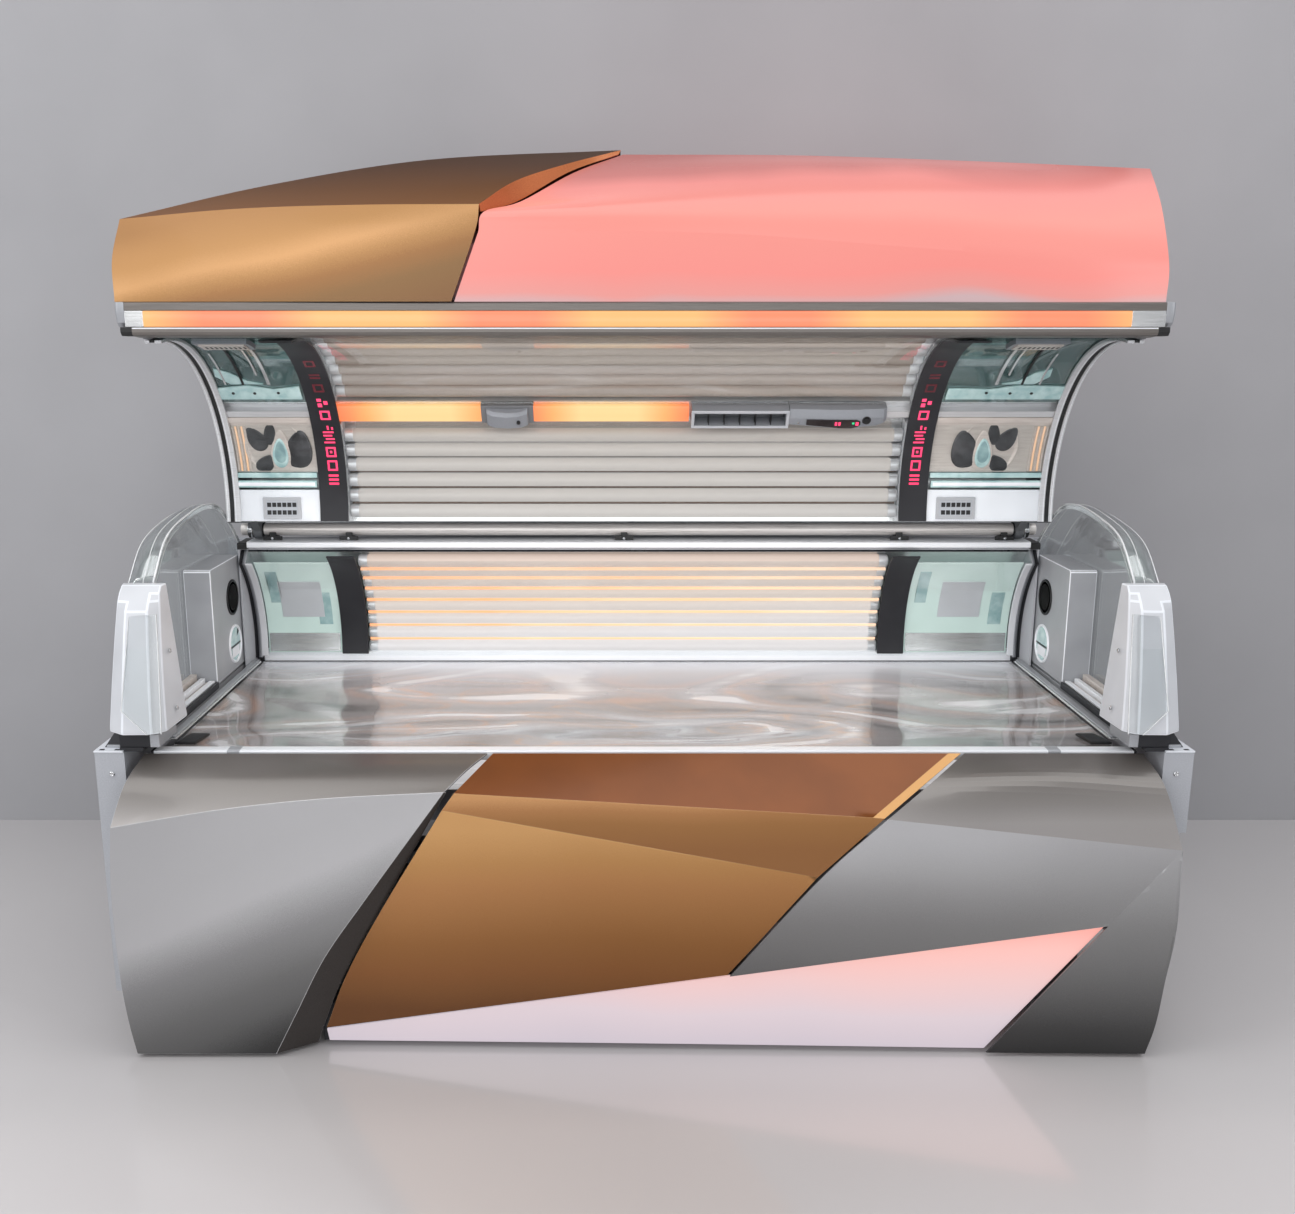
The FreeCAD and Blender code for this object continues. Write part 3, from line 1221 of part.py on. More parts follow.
def make_hood_light():
    """The translucent hood moulding, lit from inside."""
    skin = val(S.hood_skin)
    edge = 1142
    low_left, kink, peak = (-408, -445, 1663), (-355, -434, 1809), (-344, -424, 1852)
    border = [(-271, -352, 1872), (-157, -240, 1950), (-44, -150, 2005)]
    crease = [(-97, -415, 1842), (479, -380, 1901), (edge - 23, -290, 1955)]
    faint = [(-97, -430, 1816), (148, -430, 1806), (475, -430, 1759)]
    low_right, bulge, corner = (edge - 21, -430, 1663), (edge - 3, -385, 1745), (edge - 8, -370, 1811)
    ridge = [border[2], (363, -150, 2002), (593, -160, 1994), (816, -190, 1981), crease[2]]
    end_x = edge - 30
    middle = [(x, HOOD_MIDDLE_Y, z) for x, z in ((-44, 1900), (363, 1895), (593, 1888), (816, 1872), (end_x, 1838))]
    rear = [(x, HOOD_REAR_Y, HOOD_REAR_Z) for x in (-44, 363, 593, 816, edge - 37)]
    front = [[low_left, faint[0], kink], [kink, faint[0], crease[0]], [kink, crease[0], peak],
             [faint[0], faint[1], crease[0]], [faint[1], crease[1], crease[0]], [faint[1], faint[2], crease[1]],
             [low_left, faint[1], faint[0]], [low_left, faint[2], faint[1]], [low_left, low_right, faint[2]],
             [faint[2], low_right, bulge], [faint[2], bulge, corner], [faint[2], corner, crease[2]],
             [faint[2], crease[2], crease[1]]]
    top = [[peak, crease[0], border[0]], [border[0], crease[0], crease[1]], [border[0], crease[1], border[1]],
           [border[1], crease[1], ridge[1]], [border[1], ridge[1], ridge[0]], [crease[1], ridge[2], ridge[1]],
           [crease[1], ridge[3], ridge[2]], [crease[1], crease[2], ridge[3]]]
    top += quads(ridge, middle) + quads(middle, rear)
    skirt_low = [low_right, (edge - 14, -150, 1690), (edge - 26, HOOD_MIDDLE_Y, 1692), rear[4]]
    skirt = [[low_right, skirt_low[1], bulge], [bulge, skirt_low[1], corner], [corner, skirt_low[1], crease[2]],
             [skirt_low[1], middle[4], crease[2]], [skirt_low[1], skirt_low[2], middle[4]],
             [skirt_low[2], rear[4], middle[4]]]
    shape = faceted(front, Vector(0, skin, 0), hood_corner)
    shape = shape.fuse([faceted(top, Vector(0, 0, -skin), hood_corner),
                        faceted(skirt, Vector(-skin, 0, 0), hood_corner)])
    return piece(feature(shape.removeSplitter()), "hood_light")


def make_hood_back():
    """The canopy's rear shell with its end walls, open towards the lamps."""
    wall, half = val(S.shell), val(BACK_SHELL_HALF)
    outline = [(-400, 1675), (-370, 1790), (-140, 1835), (300, 1690), (570, 1520), (680, 1300), (620, 1150), (400, 1100),
               (160, 1100)]
    inside = [(-400 + wall, 1640), (-366.5, 1786), (-140, 1831), (298, 1686), (566.5, 1518), (675.6, 1300),
              (617, 1153), (399.5, 1104), (150, 1104), (-100, 1100), (-396, 1500)]
    outer = prism(outline, -half, half)
    inner = prism(inside, -half + wall, half - wall)
    opening = Part.makeCylinder(val(FRAME_OUT) + 0.3, 2 * half + 10, Vector(-half - 5, val(S.arc_y), val(S.arc_z)),
                                Vector(1, 0, 0))
    shape = outer.cut(inner).cut(opening)
    for x in (-val(LEVER_OUT) - 3, val(LEVER_IN) - 3):
        arm_slot = Part.makeBox(val(S.lever_width) + 6, 85, 20, Vector(x, 140, 1090))
        shape = shape.cut(arm_slot)
    return piece(feature(shape), "hood_back")


def make_fascia():
    """The silver front band with its top flange and end caps."""
    half = S.frame_half + S.hood_reach - 2
    front, back = S.fascia_y, S.fascia_y + 4
    top, low = S.fascia_top, S.lip_bottom + 20.3
    band = box(-half, half, front, back, top - 18, top)
    flange = box(-half, half, front, S.fascia_y + 43, top - 3, top)
    left = box(-half, 21.7 - S.frame_half, front, HEADER_Y[0] - 0.3, low, top - 18)
    right = box(S.frame_half - 54.7, half, front, HEADER_Y[0] - 0.3, low, top - 18)
    ends = both_sides(box(S.frame_half + 0.3, half, front, S.fascia_y + 43, low, top))
    return piece(fuse(band, flange, left, right, *ends), "fascia")


def make_canopy_lip():
    """The lower front edge of the canopy, with corner caps."""
    low, front, half = S.lip_bottom, S.fascia_y, S.frame_half + 5
    profile = [(front + 3, low + 20), (front + 1, low + 9), (front + 7, low), (front + 44, low - 3),
               (front + 44, low + 20)]
    lip = extrusion(profile, 2 * half, -half)
    cap = box(half + 0.3, half + 25, front + 2, front + 42, low + 1, low + 20)
    return piece(group(lip, *both_sides(cap)), "canopy_lip")


# ---------------------------------------------------------------- assembly and export
make_floor_frame()
make_levelling_feet()
side_panel(-1, 110, "side_panel_left")
side_panel(1, 500, "side_panel_right")
make_front_panel_left()
make_front_panel_centre()
make_front_panel_right()
make_front_light_panel()
make_toe_skirt()
make_front_rail()
make_rear_wall_trims()
make_bed_pane()
make_bench_lamps()
make_bench_lamp_holders()
make_bench_reflector()
make_rear_pane()
make_rear_dark_covers()
make_side_ledges()
make_front_pillars()
make_rear_pillars()
make_pod_fittings()
make_end_domes()
make_hinge_shaft()
make_hinge_brackets()
make_back_cover()
make_fan_housings()
make_ballasts()
make_mains_gland()
make_canopy_end_frames()
make_canopy_beams()
make_hood_gold()
make_hood_light()
make_hood_back()
make_fascia()
make_light_bars()
make_canopy_lip()
make_canopy_pane()
make_canopy_lamps()
make_canopy_lamp_holders()
make_canopy_reflectors()
make_nozzle_unit()
make_air_outlet()
make_control_unit()
make_control_display()
make_canopy_dark_covers()
make_face_windows()
make_vent_panels()
make_control_button()
for side, name in ((-1, "left"), (1, "right")):
    make_strut_cylinder(side, "strut_cylinder_%s" % name)
    make_strut_rod(side, "strut_rod_%s" % name)
    make_fan_rotor(side * S.fan_x, "fan_rotor_%s" % name)
for vane in range(1, int(val(S.vane_count)) + 1):
    make_outlet_vane(vane)

doc.recompute()

faults = []
for obj in doc.Objects:
    if "Invalid" in obj.State or "Error" in obj.State:
        faults.append("%s is not computed" % obj.Name)
for obj in PIECES:
    if obj.Shape.isNull() or not obj.Shape.isValid() or not obj.Shape.Solids:
        faults.append("%s has no valid solid" % obj.Label)
if faults:
    raise RuntimeError("; ".join(faults))

os.makedirs("parts", exist_ok=True)
for obj in PIECES:
    obj.Shape.exportStep(os.path.join("parts", obj.Label + ".step"))
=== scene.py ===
"""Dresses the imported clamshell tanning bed: camera, light, finishes and the detailed pieces.

Lists of corners are in millimetres, and Form turns them to metres.
X runs along the bed (right hand positive), Y from front to back, Z up.
"""
import math
import bmesh
import bpy
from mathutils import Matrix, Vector


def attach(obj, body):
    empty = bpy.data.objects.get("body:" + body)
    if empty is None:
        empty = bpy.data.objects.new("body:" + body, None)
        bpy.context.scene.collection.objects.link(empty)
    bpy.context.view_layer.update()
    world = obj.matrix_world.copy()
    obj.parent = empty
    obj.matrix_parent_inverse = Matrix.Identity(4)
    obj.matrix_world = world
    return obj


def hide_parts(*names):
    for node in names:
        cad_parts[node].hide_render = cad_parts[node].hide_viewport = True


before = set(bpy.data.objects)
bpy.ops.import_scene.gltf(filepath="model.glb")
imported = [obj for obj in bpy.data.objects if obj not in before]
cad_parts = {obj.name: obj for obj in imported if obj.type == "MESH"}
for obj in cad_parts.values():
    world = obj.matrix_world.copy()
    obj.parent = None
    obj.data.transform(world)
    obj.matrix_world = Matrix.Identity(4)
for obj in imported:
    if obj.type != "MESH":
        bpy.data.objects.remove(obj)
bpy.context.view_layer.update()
scene = bpy.context.scene

ACRYLIC_IOR = 1.49
ABS_IOR = 1.53
ORANGE_PEEL = 9.0


# ---------------------------------------------------------------- nodes of a finish
def linear(code):
    """The linear colour of an sRGB hex value."""
    parts = [int(code[i:i + 2], 16) / 255 for i in (0, 2, 4)]
    return [c / 12.92 if c <= 0.04045 else ((c + 0.055) / 1.055) ** 2.4 for c in parts] + [1.0]


def add(tree, kind, inputs=None, stops=None, **settings):
    """Adds a node with its settings; an input is a value, a node, or a (node, output) pair to link from."""
    node = tree.nodes.new("ShaderNode" + kind)
    for key, value in settings.items():
        setattr(node, key, value)
    for key, value in (inputs or {}).items():
        source = value if isinstance(value, tuple) else (value, 0)
        if isinstance(source[0], bpy.types.Node):
            tree.links.new(source[0].outputs[source[1]], node.inputs[key])
        else:
            node.inputs[key].default_value = value
    for i, (place, colour) in enumerate(stops or ()):
        ramp = node.color_ramp.elements
        stop = ramp[i] if i < 2 else ramp.new(place)
        stop.position, stop.color = place, linear(colour)
    return node


def blank(name):
    """A new finish with an empty tree."""
    finish = bpy.data.materials.new(name)
    finish.use_nodes = True
    finish.node_tree.nodes.clear()
    return finish, finish.node_tree


def ended(finish, surface):
    """The finish, with its surface led to the output."""
    add(finish.node_tree, "OutputMaterial", {"Surface": surface})
    return finish


def maths(tree, operation, *values, **settings):
    return add(tree, "Math", dict(enumerate(values)), operation=operation, **settings)


def toned(tree, level, stops):
    return add(tree, "ValToRGB", {"Fac": level}, stops=stops)


def where(tree):
    """The place on the piece, as three numbers in metres."""
    return add(tree, "SeparateXYZ", {"Vector": (add(tree, "TexCoord"), "Object")})


def grain(tree, size, stretch=(1, 1, 1), detail=2.0, rough=0.5):
    """Noise in the piece's own space whose grains are about size millimetres across."""
    fit = add(tree, "Mapping", {"Vector": (add(tree, "TexCoord"), "Object"), "Scale": stretch})
    return add(tree, "TexNoise", {"Vector": fit, "Scale": 1000.0 / size, "Detail": detail, "Roughness": rough})


def relief(tree, height, strength, depth):
    """Bump from a height, depth in millimetres."""
    return add(tree, "Bump", {"Height": height, "Strength": strength, "Distance": depth / 1000.0})


def graded(tree, low, high, lean=0.0):
    """0 to 1 from low to high up the object, in millimetres; lean adds a share of the distance from its middle."""
    here = where(tree)
    height = maths(tree, "MULTIPLY_ADD", maths(tree, "ABSOLUTE", (here, "X")), lean, (here, "Z"))
    return add(tree, "MapRange", {"Value": height, "From Min": low / 1000, "From Max": high / 1000})


def coated(name, dark, light, metallic, roughness, coat, coat_rough, size, orange_peel=0.15):
    """Sprayed or moulded skin: two tones over grains of a size, clear coat, and orange peel."""
    finish, tree = blank(name)
    tone = toned(tree, grain(tree, size, detail=3.0), [(0.35, dark), (0.65, light)])
    bump = relief(tree, grain(tree, ORANGE_PEEL, detail=0.0), orange_peel, 0.3)
    return ended(
        finish, add(tree, "BsdfPrincipled", {"Base Color": tone, "Metallic": metallic, "Roughness": roughness,
        "Coat Weight": coat, "Coat Roughness": coat_rough, "Normal": bump}))


def lacquer_with_painted_shade(name, tones, low, high, lean, metallic, roughness, coat):
    """Flake lacquer with painted shade and highlight: its tones run with height from low to high, over flakes drawn
    1.6 mm across.
    """
    finish, tree = blank(name)
    # Painted shade and highlight: a ramp up the piece, softened by broad clouds, with the flakes over it.
    painted_shade_level = maths(tree, "MULTIPLY_ADD", grain(tree, 420.0, detail=1.0), 0.16, graded(tree, low, high, lean))
    painted_shade_level = maths(tree, "MULTIPLY_ADD", grain(tree, 1.6, detail=3.0), 0.14, painted_shade_level)
    tone = toned(tree, maths(tree, "SUBTRACT", painted_shade_level, 0.15), tones)
    bump = relief(tree, grain(tree, ORANGE_PEEL, detail=0.0), 0.12, 0.3)
    return ended(
        finish, add(tree, "BsdfPrincipled", {"Base Color": tone, "Metallic": metallic, "Roughness": roughness,
        "Coat Weight": coat, "Coat Roughness": 0.06, "Normal": bump}))


def moulded(name, dark, light, roughness, size=1.2, depth=0.12, specular=0.5):
    """Injection-moulded or vacuum-formed plastic: spark-eroded grain of a size in the surface."""
    finish, tree = blank(name)
    tone = toned(tree, grain(tree, 120.0), [(0.3, dark), (0.7, light)])
    bump = relief(tree, grain(tree, size, detail=1.0), 0.35, depth)
    return ended(
        finish, add(tree, "BsdfPrincipled", {"Base Color": tone, "Roughness": roughness, "IOR": ABS_IOR,
        "Specular IOR Level": specular, "Normal": bump}))


def drawn_metal(name, dark, light, roughness, along=(1, 1, 1), size=1.5, depth=0.05, metallic=1.0):
    """Metal with fine lines left by the die, the belt or the roll; an anodised film scatters some of the light."""
    finish, tree = blank(name)
    lines = grain(tree, size, along, 4.0, 0.6)
    gloss = add(tree, "MapRange", {"Value": lines, "To Min": roughness - 0.06, "To Max": roughness + 0.08})
    return ended(
        finish, add(tree, "BsdfPrincipled", {"Base Color": toned(tree, lines, [(0.3, dark), (0.7, light)]),
        "Metallic": metallic, "Roughness": gloss, "Normal": relief(tree, lines, 0.3, depth)}))


def under_gloss(tree, under, bump, shine, roughness):
    """Acrylic over what lies under it: mirror-like at a grazing angle, waved where it was formed."""
    edge_on = add(tree, "Fresnel", {"IOR": ACRYLIC_IOR, "Normal": bump})
    amount = maths(tree, "MULTIPLY", edge_on, shine, use_clamp=True)
    gloss = add(tree, "BsdfGlossy", {"Color": linear("F6F8F8"), "Roughness": roughness, "Normal": bump})
    return add(tree, "MixShader", {0: amount, 1: under, 2: gloss})


def cast_acrylic(name, tint, shine, ripple, ripple_size, haze=0.0, milk="E8ECEC"):
    """Clear acrylic sheet, tinted or a little milky."""
    finish, tree = blank(name)
    bump = relief(tree, grain(tree, ripple_size, detail=1.0), ripple, 4.0)
    mixed = under_gloss(tree, add(tree, "BsdfTransparent", {"Color": linear(tint)}), bump, shine, 0.04)
    if haze:
        film = add(tree, "BsdfPrincipled", {"Base Color": linear(milk), "Roughness": 0.25})
        mixed = add(tree, "MixShader", {0: haze, 1: mixed, 2: film})
    return ended(finish, mixed)


def pane_with_painted_reflections(name, tones, loops, film, shine, glow):
    """Body-formed acrylic with painted reflections: the lamps above and below, drawn out by its slow waves into nested
    loops, are painted into its tone and glow, here loops to a wave.

    Towards the rear a painted white reflection of the wall lamps takes over.
    """
    finish, tree = blank(name)
    slow = grain(tree, 640.0, (0.42, 1, 1), 0.6)
    painted_lamp_loops = maths(tree, "SINE", maths(tree, "MULTIPLY", slow, 2 * math.pi * loops))
    level = add(tree, "MapRange", {"Value": painted_lamp_loops, "From Min": -1.0, "From Max": 1.0})
    level = maths(tree, "MULTIPLY_ADD", grain(tree, 60.0, (0.12, 1, 1)), 0.5, level)
    tone = toned(tree, maths(tree, "SUBTRACT", level, 0.25), tones)
    # Painted reflection: white towards the rear.
    bend = maths(tree, "MULTIPLY_ADD", slow, 0.24, (where(tree), "Y"))
    rear = add(tree, "MapRange", {"Value": bend, "From Min": 0.14, "From Max": 0.34, "To Max": 0.85})
    tone = add(tree, "MixRGB", {"Fac": rear, "Color1": tone, "Color2": linear("E6E5EA")})
    bump = relief(tree, grain(tree, 110.0, (0.5, 1, 1), 1.0), 0.4, 4.0)
    clear = add(tree, "BsdfTransparent", {"Color": linear("FCFDFD")})
    layer = add(
        tree, "BsdfPrincipled", {"Base Color": tone, "Roughness": 0.2, "Emission Color": tone,
        "Emission Strength": glow})
    mixed = add(tree, "MixShader", {0: film, 1: clear, 2: layer})
    return ended(finish, under_gloss(tree, mixed, bump, shine, 0.03))


def lit(finish, tone, glow, base, rough):
    """Acrylic or lamp glass with light behind it, or a glow painted in for light that falls on it."""
    return ended(
        finish, add(finish.node_tree, "BsdfPrincipled", {"Base Color": linear(base), "Roughness": rough,
        "IOR": ACRYLIC_IOR, "Emission Color": tone, "Emission Strength": glow}))


def opal(name, tones, axis, start, stop, glow, cloud, size, base, rough=0.22, stretch=(1, 1, 1)):
    """Opal acrylic lit from behind, or a painted glow: the tones run along an axis from start to stop (mm), blurred by
    clouds.
    """
    finish, tree = blank(name)
    run = add(tree, "MapRange", {"Value": (where(tree), axis), "From Min": start / 1000, "From Max": stop / 1000})
    blur = maths(tree, "SUBTRACT", grain(tree, size, stretch, 1.5), 0.5)
    return lit(finish, toned(tree, maths(tree, "MULTIPLY_ADD", blur, cloud, run), tones), glow, base, rough)


def striped_light(name, tones, period, first):
    """Opal strip over light-emitting diodes of two colours that take turns along X; the first tone at first, in mm."""
    finish, tree = blank(name)
    turn = maths(tree, "MULTIPLY_ADD", (where(tree), "X"), 2000 * math.pi / period, -2 * math.pi * first / period)
    mix = add(tree, "MapRange", {"Value": maths(tree, "COSINE", turn), "From Min": 1.0, "From Max": -1.0})
    return lit(finish, toned(tree, mix, tones), 0.95, "7A4A38", 0.25)


# ---------------------------------------------------------------- finishes
# Silver two-coat lacquer on glass-fibre mouldings: aluminium flake under clear lacquer, with painted highlight and
# shade: pale and softly bright at the shoulders, deep grey towards the hem.
SILVER_PAINTED_SHADE = lacquer_with_painted_shade(
    "silver_flake_lacquer", [(0.0, "343434"), (0.14, "484848"), (0.46, "7B7B7B"), (0.62, "898989"),
    (0.8, "A0A0A1"), (1.0, "B4B4B6")], 0, 540, 0.0, 0.6, 0.36, 0.2)
# The same on the left moulding, whose belly turns down towards the gold; its painted shade also darkens towards the
# gold.
SILVER_BELLY_PAINTED_SHADE = lacquer_with_painted_shade(
    "silver_flake_lacquer_belly", [(0.0, "262626"), (0.1, "3A3A3A"), (0.25, "626262"), (0.4, "6E6E6E"),
    (0.6, "888889"), (0.8, "B6B6B8"), (1.0, "B2B2B4")], 400, 920, 0.5, 0.6, 0.36, 0.2)
# The creases of the same mouldings, in a paler silver: a painted highlight as fine bright lines where they catch the
# light.
SILVER_CREASE_PAINTED_HIGHLIGHT = coated("silver_lacquer_crease_painted_highlight", "C4C4C6", "D6D6D8", 0.4, 0.25, 0.5, 0.08, 1.6, 0.05)
# The returns beside the gold, in a dark colour that is painted shade.
RETURN_PAINTED_SHADE = coated("return_painted_shade", "2A2522", "383330", 0.2, 0.5, 0.1, 0.2, 1.6)
# Bronze-gold pearl lacquer on the same mouldings: warm, with painted highlight and shade, bright where it turns to the
# light, brown towards the hem.
GOLD_PAINTED_SHADE = lacquer_with_painted_shade(
    "gold_pearl_lacquer", [(0.0, "6E4420"), (0.1, "7D5027"), (0.2, "87562B"), (0.4, "936232"), (0.72, "B07C4A"),
    (0.84, "B88750"), (1.0, "C99961")], 100, 540, 0.0, 0.55, 0.36, 0.15)
# The flatter facet above it: browner, with a painted highlight only in its left corner and painted shade elsewhere.
GOLD_FACET_PAINTED_SHADE = lacquer_with_painted_shade(
    "gold_pearl_lacquer_facet", [(0.0, "8C5E33"), (0.4, "8C5E33"), (0.7, "966839"), (0.85, "A67446"),
    (1.0, "C2905E")], 430, 612, 0.0, 0.5, 0.36, 0.15)
# The gold creases in a paler gold: a painted highlight as fine bright lines.
GOLD_CREASE_PAINTED_HIGHLIGHT = coated("gold_lacquer_crease_painted_highlight", "DCB07C", "E8C08E", 0.4, 0.25, 0.5, 0.08, 1.6, 0.05)
# The same lacquer on the hood, with a painted highlight sweeping along its brow, the brightest gold on the bed, and
# painted shade below it.
HOOD_GOLD_PAINTED_HIGHLIGHT = lacquer_with_painted_shade(
    "gold_pearl_lacquer_on_hood", [(0.0, "785536"), (0.3, "80603C"), (0.44, "94693F"), (0.53, "AC8050"),
    (0.62, "CA9A68"), (0.74, "B88A58"), (1.0, "A87C50")], 1740, 2050, 0.22, 0.55, 0.38, 0.1)
# The hood's top: a browner, satin gold that doesn't mirror the room, with painted shade darkening it towards the
# ridge.
HOOD_TOP_GOLD_PAINTED_SHADE = lacquer_with_painted_shade(
    "gold_lacquer_top_painted_shade", [(0.0, "7C5028"), (0.4, "643C14"), (0.8, "48280A"), (1.0, "402408")], 1840, 2010,
    0.0, 0.25, 0.6, 0.0)
# The band under the rail: a deep, glassy amber copy of the gold, which is painted shade.
GOLD_BAND_PAINTED_SHADE = coated("gold_band_painted_shade", "754016", "7E461A", 0.3, 0.3, 0.12, 0.1, 150.0, 0.03)
# The silver bands under the rail, in a darker glossy copy of the silver: painted shade, darker where they roll under
# it.
SILVER_BAND_PAINTED_SHADE = lacquer_with_painted_shade(
    "silver_band_gloss_painted_shade", [(0.0, "A09C9A"), (0.3, "8C8885"), (0.7, "787470"), (1.0, "66615E")], 560, 676,
    0.0, 0.35, 0.28, 0.3)
# Powder-coated steel sheet, light grey-white, with a fine orange peel.
POWDER_WHITE = coated("powder_coated_sheet_light_grey", "AAADB3", "B6B9BF", 0.0, 0.42, 0.0, 0.1, 2.5, 0.3)
# The same coat in grey on the steel tube of the frame.
POWDER_GREY = coated("powder_coated_tube_grey", "55585B", "63666A", 0.0, 0.5, 0.0, 0.1, 2.5, 0.4)
# Stove enamel on the hinge brackets: hard, black, with a low gleam.
BLACK_PAINT = coated("black_stove_enamel", "101112", "1A1B1D", 0.0, 0.35, 0.3, 0.1, 2.5, 0.2)
# White ABS, moulded against spark-eroded steel: a cool, even, half-matt white.
WHITE_ABS = moulded("white_abs", "C8CBD0", "D4D7DC", 0.3)
# The vent panels beside the lamps, in a brighter copy of the white ABS: painted light from the lamps; the same white
# is a painted highlight on rounded edges.
WHITE_ABS_PAINTED_LIGHT = moulded("white_abs_painted_light", "E4E8EE", "EEF2F8", 0.3)
# The side columns and end boxes, in a greyer white.
GREY_ABS = moulded("light_grey_abs", "94979C", "A0A3A8", 0.34)
# ABS sprayed with silver before assembly: soft metallic housings.
SILVER_ABS = coated("silver_painted_abs", "A6A9AE", "B6B9BE", 0.4, 0.38, 0.2, 0.15, 1.2, 0.1)
# Charcoal ABS with a leather-like grain: the covers over the lamp ends.
CHARCOAL_ABS = moulded("charcoal_abs", "222327", "2C2D31", 0.42, 1.5, 0.2, 0.3)
# ABS painted a satin blue-grey: the air nozzle, the outlet and the control unit.
UNIT_GREY = coated("blue_grey_satin_painted_abs", "7A7F86", "898E95", 0.3, 0.36, 0.2, 0.15, 1.2, 0.1)
# A paler copy of the same blue-grey on the edges that face the light: a painted highlight.
UNIT_GREY_PAINTED_HIGHLIGHT = coated("blue_grey_paint_painted_highlight", "A4A9B0", "B2B7BE", 0.3, 0.3, 0.3, 0.15, 1.2, 0.1)
# Glass-filled nylon for caps and clips: black and dull.
BLACK_ABS = moulded("black_glass_filled_nylon", "0D0E0F", "17181A", 0.45, 1.5, 0.2)
# Nitrile rubber feet and seals: the dullest black on the bed.
RUBBER = moulded("black_nitrile_rubber", "0C0C0D", "151516", 0.75, 1.2, 0.2, 0.3)
# Polystyrene light screens behind the lower pane: pale green-white, with a glow painted in for the light of the lamps
# beside them.
PALE_GREEN_PAINTED_GLOW = opal(
    "pale_green_polystyrene_painted_glow", [(0.0, "94A8A6"), (1.0, "C2D4D2")], "Z", 700, 1100, 0.36, 1.2, 60.0, "C4D6D0", 0.2)
# Acoustic cloth over the loudspeakers: black, its threads drawn 2.2 mm apart to show.
SPEAKER_CLOTH = moulded("black_speaker_cloth", "060606", "101010", 0.85, 2.2, 0.8, 0.2)
# Extruded aluminium, satin anodised: pale, with long die lines and a broad sheen.
ALUMINIUM = drawn_metal("satin_anodised_aluminium", "CFD1D4", "E2E4E7", 0.34, along=(0.02, 1, 1), metallic=0.6)
# Rolled reflector sheet, brightened in acid: the whitest metal, almost a mirror.
REFLECTOR = drawn_metal(
    "bright_rolled_reflector_aluminium", "DADCDC", "EAECEC", 0.2, along=(0.05, 1, 1), size=3.0, metallic=0.8)
# Aluminium profile under white satin lacquer, as on the rear rail.
WHITE_ALUMINIUM = drawn_metal("white_satin_aluminium", "ECF0F6", "F6F9FC", 0.36, along=(0.02, 1, 1), metallic=0.3)
# Brushed nickel-plated tube of the hinge: long brush lines, a bright line along its top.
HINGE_STEEL = drawn_metal(
    "brushed_nickel_steel_tube", "CAC6C3", "E2DFDC", 0.28, along=(0.02, 1, 1), size=2.5, metallic=0.4)
# Hot-dip galvanised sheet: spangles 14 mm across, dull grey.
ZINC = drawn_metal("galvanised_steel", "8F9497", "A9ADB0", 0.4, size=14.0, depth=0.02)
# Hard chrome on rods and screws: a clean mirror.
CHROME = drawn_metal("hard_chromed_steel", "C4C6C8", "DADCDE", 0.12, along=(1, 1, 0.05), size=2.0, depth=0.01)
# Satin-rolled backing plate of the canopy's end zones: warm grey, softly mirrored.
SATIN_PLATE = drawn_metal(
    "satin_rolled_end_plate", "C6BEB8", "D8D1CB", 0.3, along=(0.1, 1, 1), size=6.0, metallic=0.3)
# The fascia's profile, anodised a deeper grey than the rails.
GREY_ALUMINIUM = drawn_metal("grey_anodised_aluminium", "6E6A66", "7E7975", 0.38, along=(0.02, 1, 1), metallic=0.6)
# Vacuum-formed acrylic of the domes: clear, wavy in its shoulder, mirror-like round its edge.
DOME_ACRYLIC = cast_acrylic("vacuum_formed_clear_acrylic", "FDFEFE", 0.55, 0.06, 160.0, 0.025)
# Thermoformed acrylic of the canopy and wall panes: thin, flat and nearly unseen.
PANE_ACRYLIC = cast_acrylic("thermoformed_clear_pane", "FCFDFD", 0.22, 0.03, 200.0)
# The body-formed pane of the bed: painted reflections of the lamps above and below, drawn as swirls along its slow
# waves.
BED_ACRYLIC_PAINTED_REFLECTIONS = pane_with_painted_reflections(
    "body_formed_clear_pane", [(0.0, "5A5452"), (0.05, "857F7E"), (0.2, "958F8E"), (0.5, "989190"),
    (0.76, "B89A8C"), (0.87, "9A9493"), (0.96, "BEBABA"), (1.0, "ECEBED")], 12.0, 0.5, 0.6, 0.2)
# Cut edges of the acrylic, flame-polished, in an opaque near-white: a painted highlight for the light they gather.
ACRYLIC_EDGE_PAINTED_HIGHLIGHT = coated("acrylic_edge_painted_highlight", "E4E8EA", "F2F4F6", 0.0, 0.12, 1.0, 0.03, 8.0, 0.05)
# Teal-tinted acrylic over the end zones, a little milky.
TEAL = cast_acrylic("teal_tinted_acrylic", "B4D2CF", 0.9, 0.05, 120.0, 0.22, "8FB4B4")
# Gold lacquer on the hood's inner step, in a warmer copy: painted light from behind it.
GOLD_STEP_PAINTED_LIGHT = coated("gold_lacquer_step_painted_light", "B86A3C", "CC7E4C", 0.6, 0.4, 0.3, 0.1, 1.6)
# Opal acrylic lit from behind by colour-changing light strips: soft coral clouds, greyer at the ridge.
HOOD_OPAL = opal(
    "opal_hood_backlit", [(0.0, "C8B4B8"), (0.07, "EC9A94"), (0.2, "FA928A"), (0.55, "FC9C90"), (0.74, "F0908A"),
    (0.84, "C4726E"), (1.0, "A05854")], "Z", 1655, 2010, 0.84, 0.3, 420.0, "6A4642", 0.25)
# The same acrylic in the wedge, with cooler light towards the floor.
WEDGE_OPAL = opal(
    "opal_wedge_backlit", [(0.0, "BAB6C2"), (0.3, "CEC2CA"), (0.6, "E6BEBC"), (0.85, "F6B6AC"), (1.0, "FAA496")],
    "Z", 0.0, 310.0, 0.86, 0.3, 420.0, "8A7A7A")
